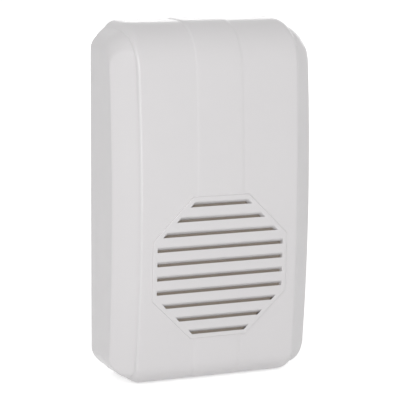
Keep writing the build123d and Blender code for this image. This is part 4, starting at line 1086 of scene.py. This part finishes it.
view = {
    "yaw": 22.75, "pitch": 10.15, "roll": 0.367, "distance": 785.3, "target": (-4.73, -5.6, 76.0),
    "lens": 170.2, "sensor": 36.0, "clipEnd": 20.0,
}
light = {
    "sky": 0.635, "ground": 0.65, "floor": 0.83, "floorGlow": 0.6, "floorRadius": 3.0, "floorDrop": 0.0004,
    "floorRoughness": 0.9, "aimHeight": 0.075,
}
# each lamp: place, size, power
lamps = {
    "keyLamp": ((-0.634, -1.36, 0.75), (0.5, 1.05), 8.8),
    "glintLamp": ((-0.5, -1.13, 0.35), (0.12, 0.12), 0.6),
    "stripLamp": ((-0.19, -0.375, 0.042), (0.11, 0.07), 0.17),
    "backLamp": ((0.86, 1.23, 0.3), (1.8, 0.6), 4.0),
}


def addCamera():
    yaw, pitch = math.radians(view["yaw"]), math.radians(view["pitch"])
    back = Vector((-math.sin(yaw) * math.cos(pitch), -math.cos(yaw) * math.cos(pitch),
                   math.sin(pitch)))
    target = Vector(view["target"]) * mm
    data = bpy.data.cameras.new("camera")
    camera = addObject("camera", data)
    camera.location = target + back * view["distance"] * mm
    turn = (-back).to_track_quat("-Z", "Y").to_matrix()
    camera.rotation_euler = (turn @ Matrix.Rotation(math.radians(view["roll"]), 3, "Z")).to_euler()
    data.lens = view["lens"]
    data.sensor_width = view["sensor"]
    data.clip_end = view["clipEnd"]
    bpy.context.scene.camera = camera


def addLamp(name, at, size, power):
    data = bpy.data.lights.new(name, "AREA")
    data.shape = "RECTANGLE"
    data.size, data.size_y = size
    data.energy = power
    lamp = addObject(name, data)
    lamp.location = at
    way = Vector((0, 0, light["aimHeight"])) - Vector(at)
    lamp.rotation_euler = way.to_track_quat("-Z", "Y").to_euler()


def backdropRays(graph):
    # 1 for rays that see the plain backdrop: the camera's, those through glass and off a gloss
    path = graph.node("LightPath").outputs
    seen = graph.math("MAXIMUM", path["Is Camera Ray"], path["Is Transmission Ray"])
    return graph.math("MAXIMUM", seen, path["Is Glossy Ray"])


def addWorld():
    # plain white to the eye and in reflections, less bright as light
    world = bpy.data.worlds.new("studio")
    bpy.context.scene.world = world
    world.use_nodes = True
    world.node_tree.nodes.clear()
    graph = Graph(world.node_tree)
    height = graph.split(graph.node("TexCoord").outputs["Generated"])["Z"]
    strength = graph.node("MapRange", height, -1.0, 1.0, light["ground"], light["sky"])
    lit = graph.node("Background", Strength=strength.outputs["Result"])
    plain = graph.node("Background", Color=(1, 1, 1, 1), Strength=1.0)
    mix = graph.node("MixShader", backdropRays(graph), lit.outputs[0], plain.outputs[0])
    graph.node("OutputWorld", Surface=mix.outputs[0])


def addFloor():
    material, graph, surface = startMaterial("paleFloor")
    surface.inputs["Roughness"].default_value = light["floorRoughness"]
    surface.inputs["Base Color"].default_value = (*[light["floor"]] * 3, 1)
    strength = graph.math("MULTIPLY", backdropRays(graph), light["floorGlow"])
    glow = graph.node("Emission", Color=(1, 1, 1, 1), Strength=strength)
    both = graph.node("AddShader", surface.outputs[0], glow.outputs[0])
    graph.feed(graph.tree.nodes["Material Output"].inputs["Surface"], both.outputs[0])
    count, radius = 96, light["floorRadius"]
    mesh = bpy.data.meshes.new("floor")
    mesh.from_pydata([(radius * cos, radius * sin, -light["floorDrop"]) for cos, sin in circle(count)],
                     [], [tuple(range(count))])
    floor = addObject("floor", mesh)
    mesh.materials.append(material)


addCamera()
addWorld()
addFloor()
for name, (at, size, power) in lamps.items():
    addLamp(name, at, size, power)
bpy.context.scene.view_settings.view_transform = "Standard"
stage("light, floor and camera set")
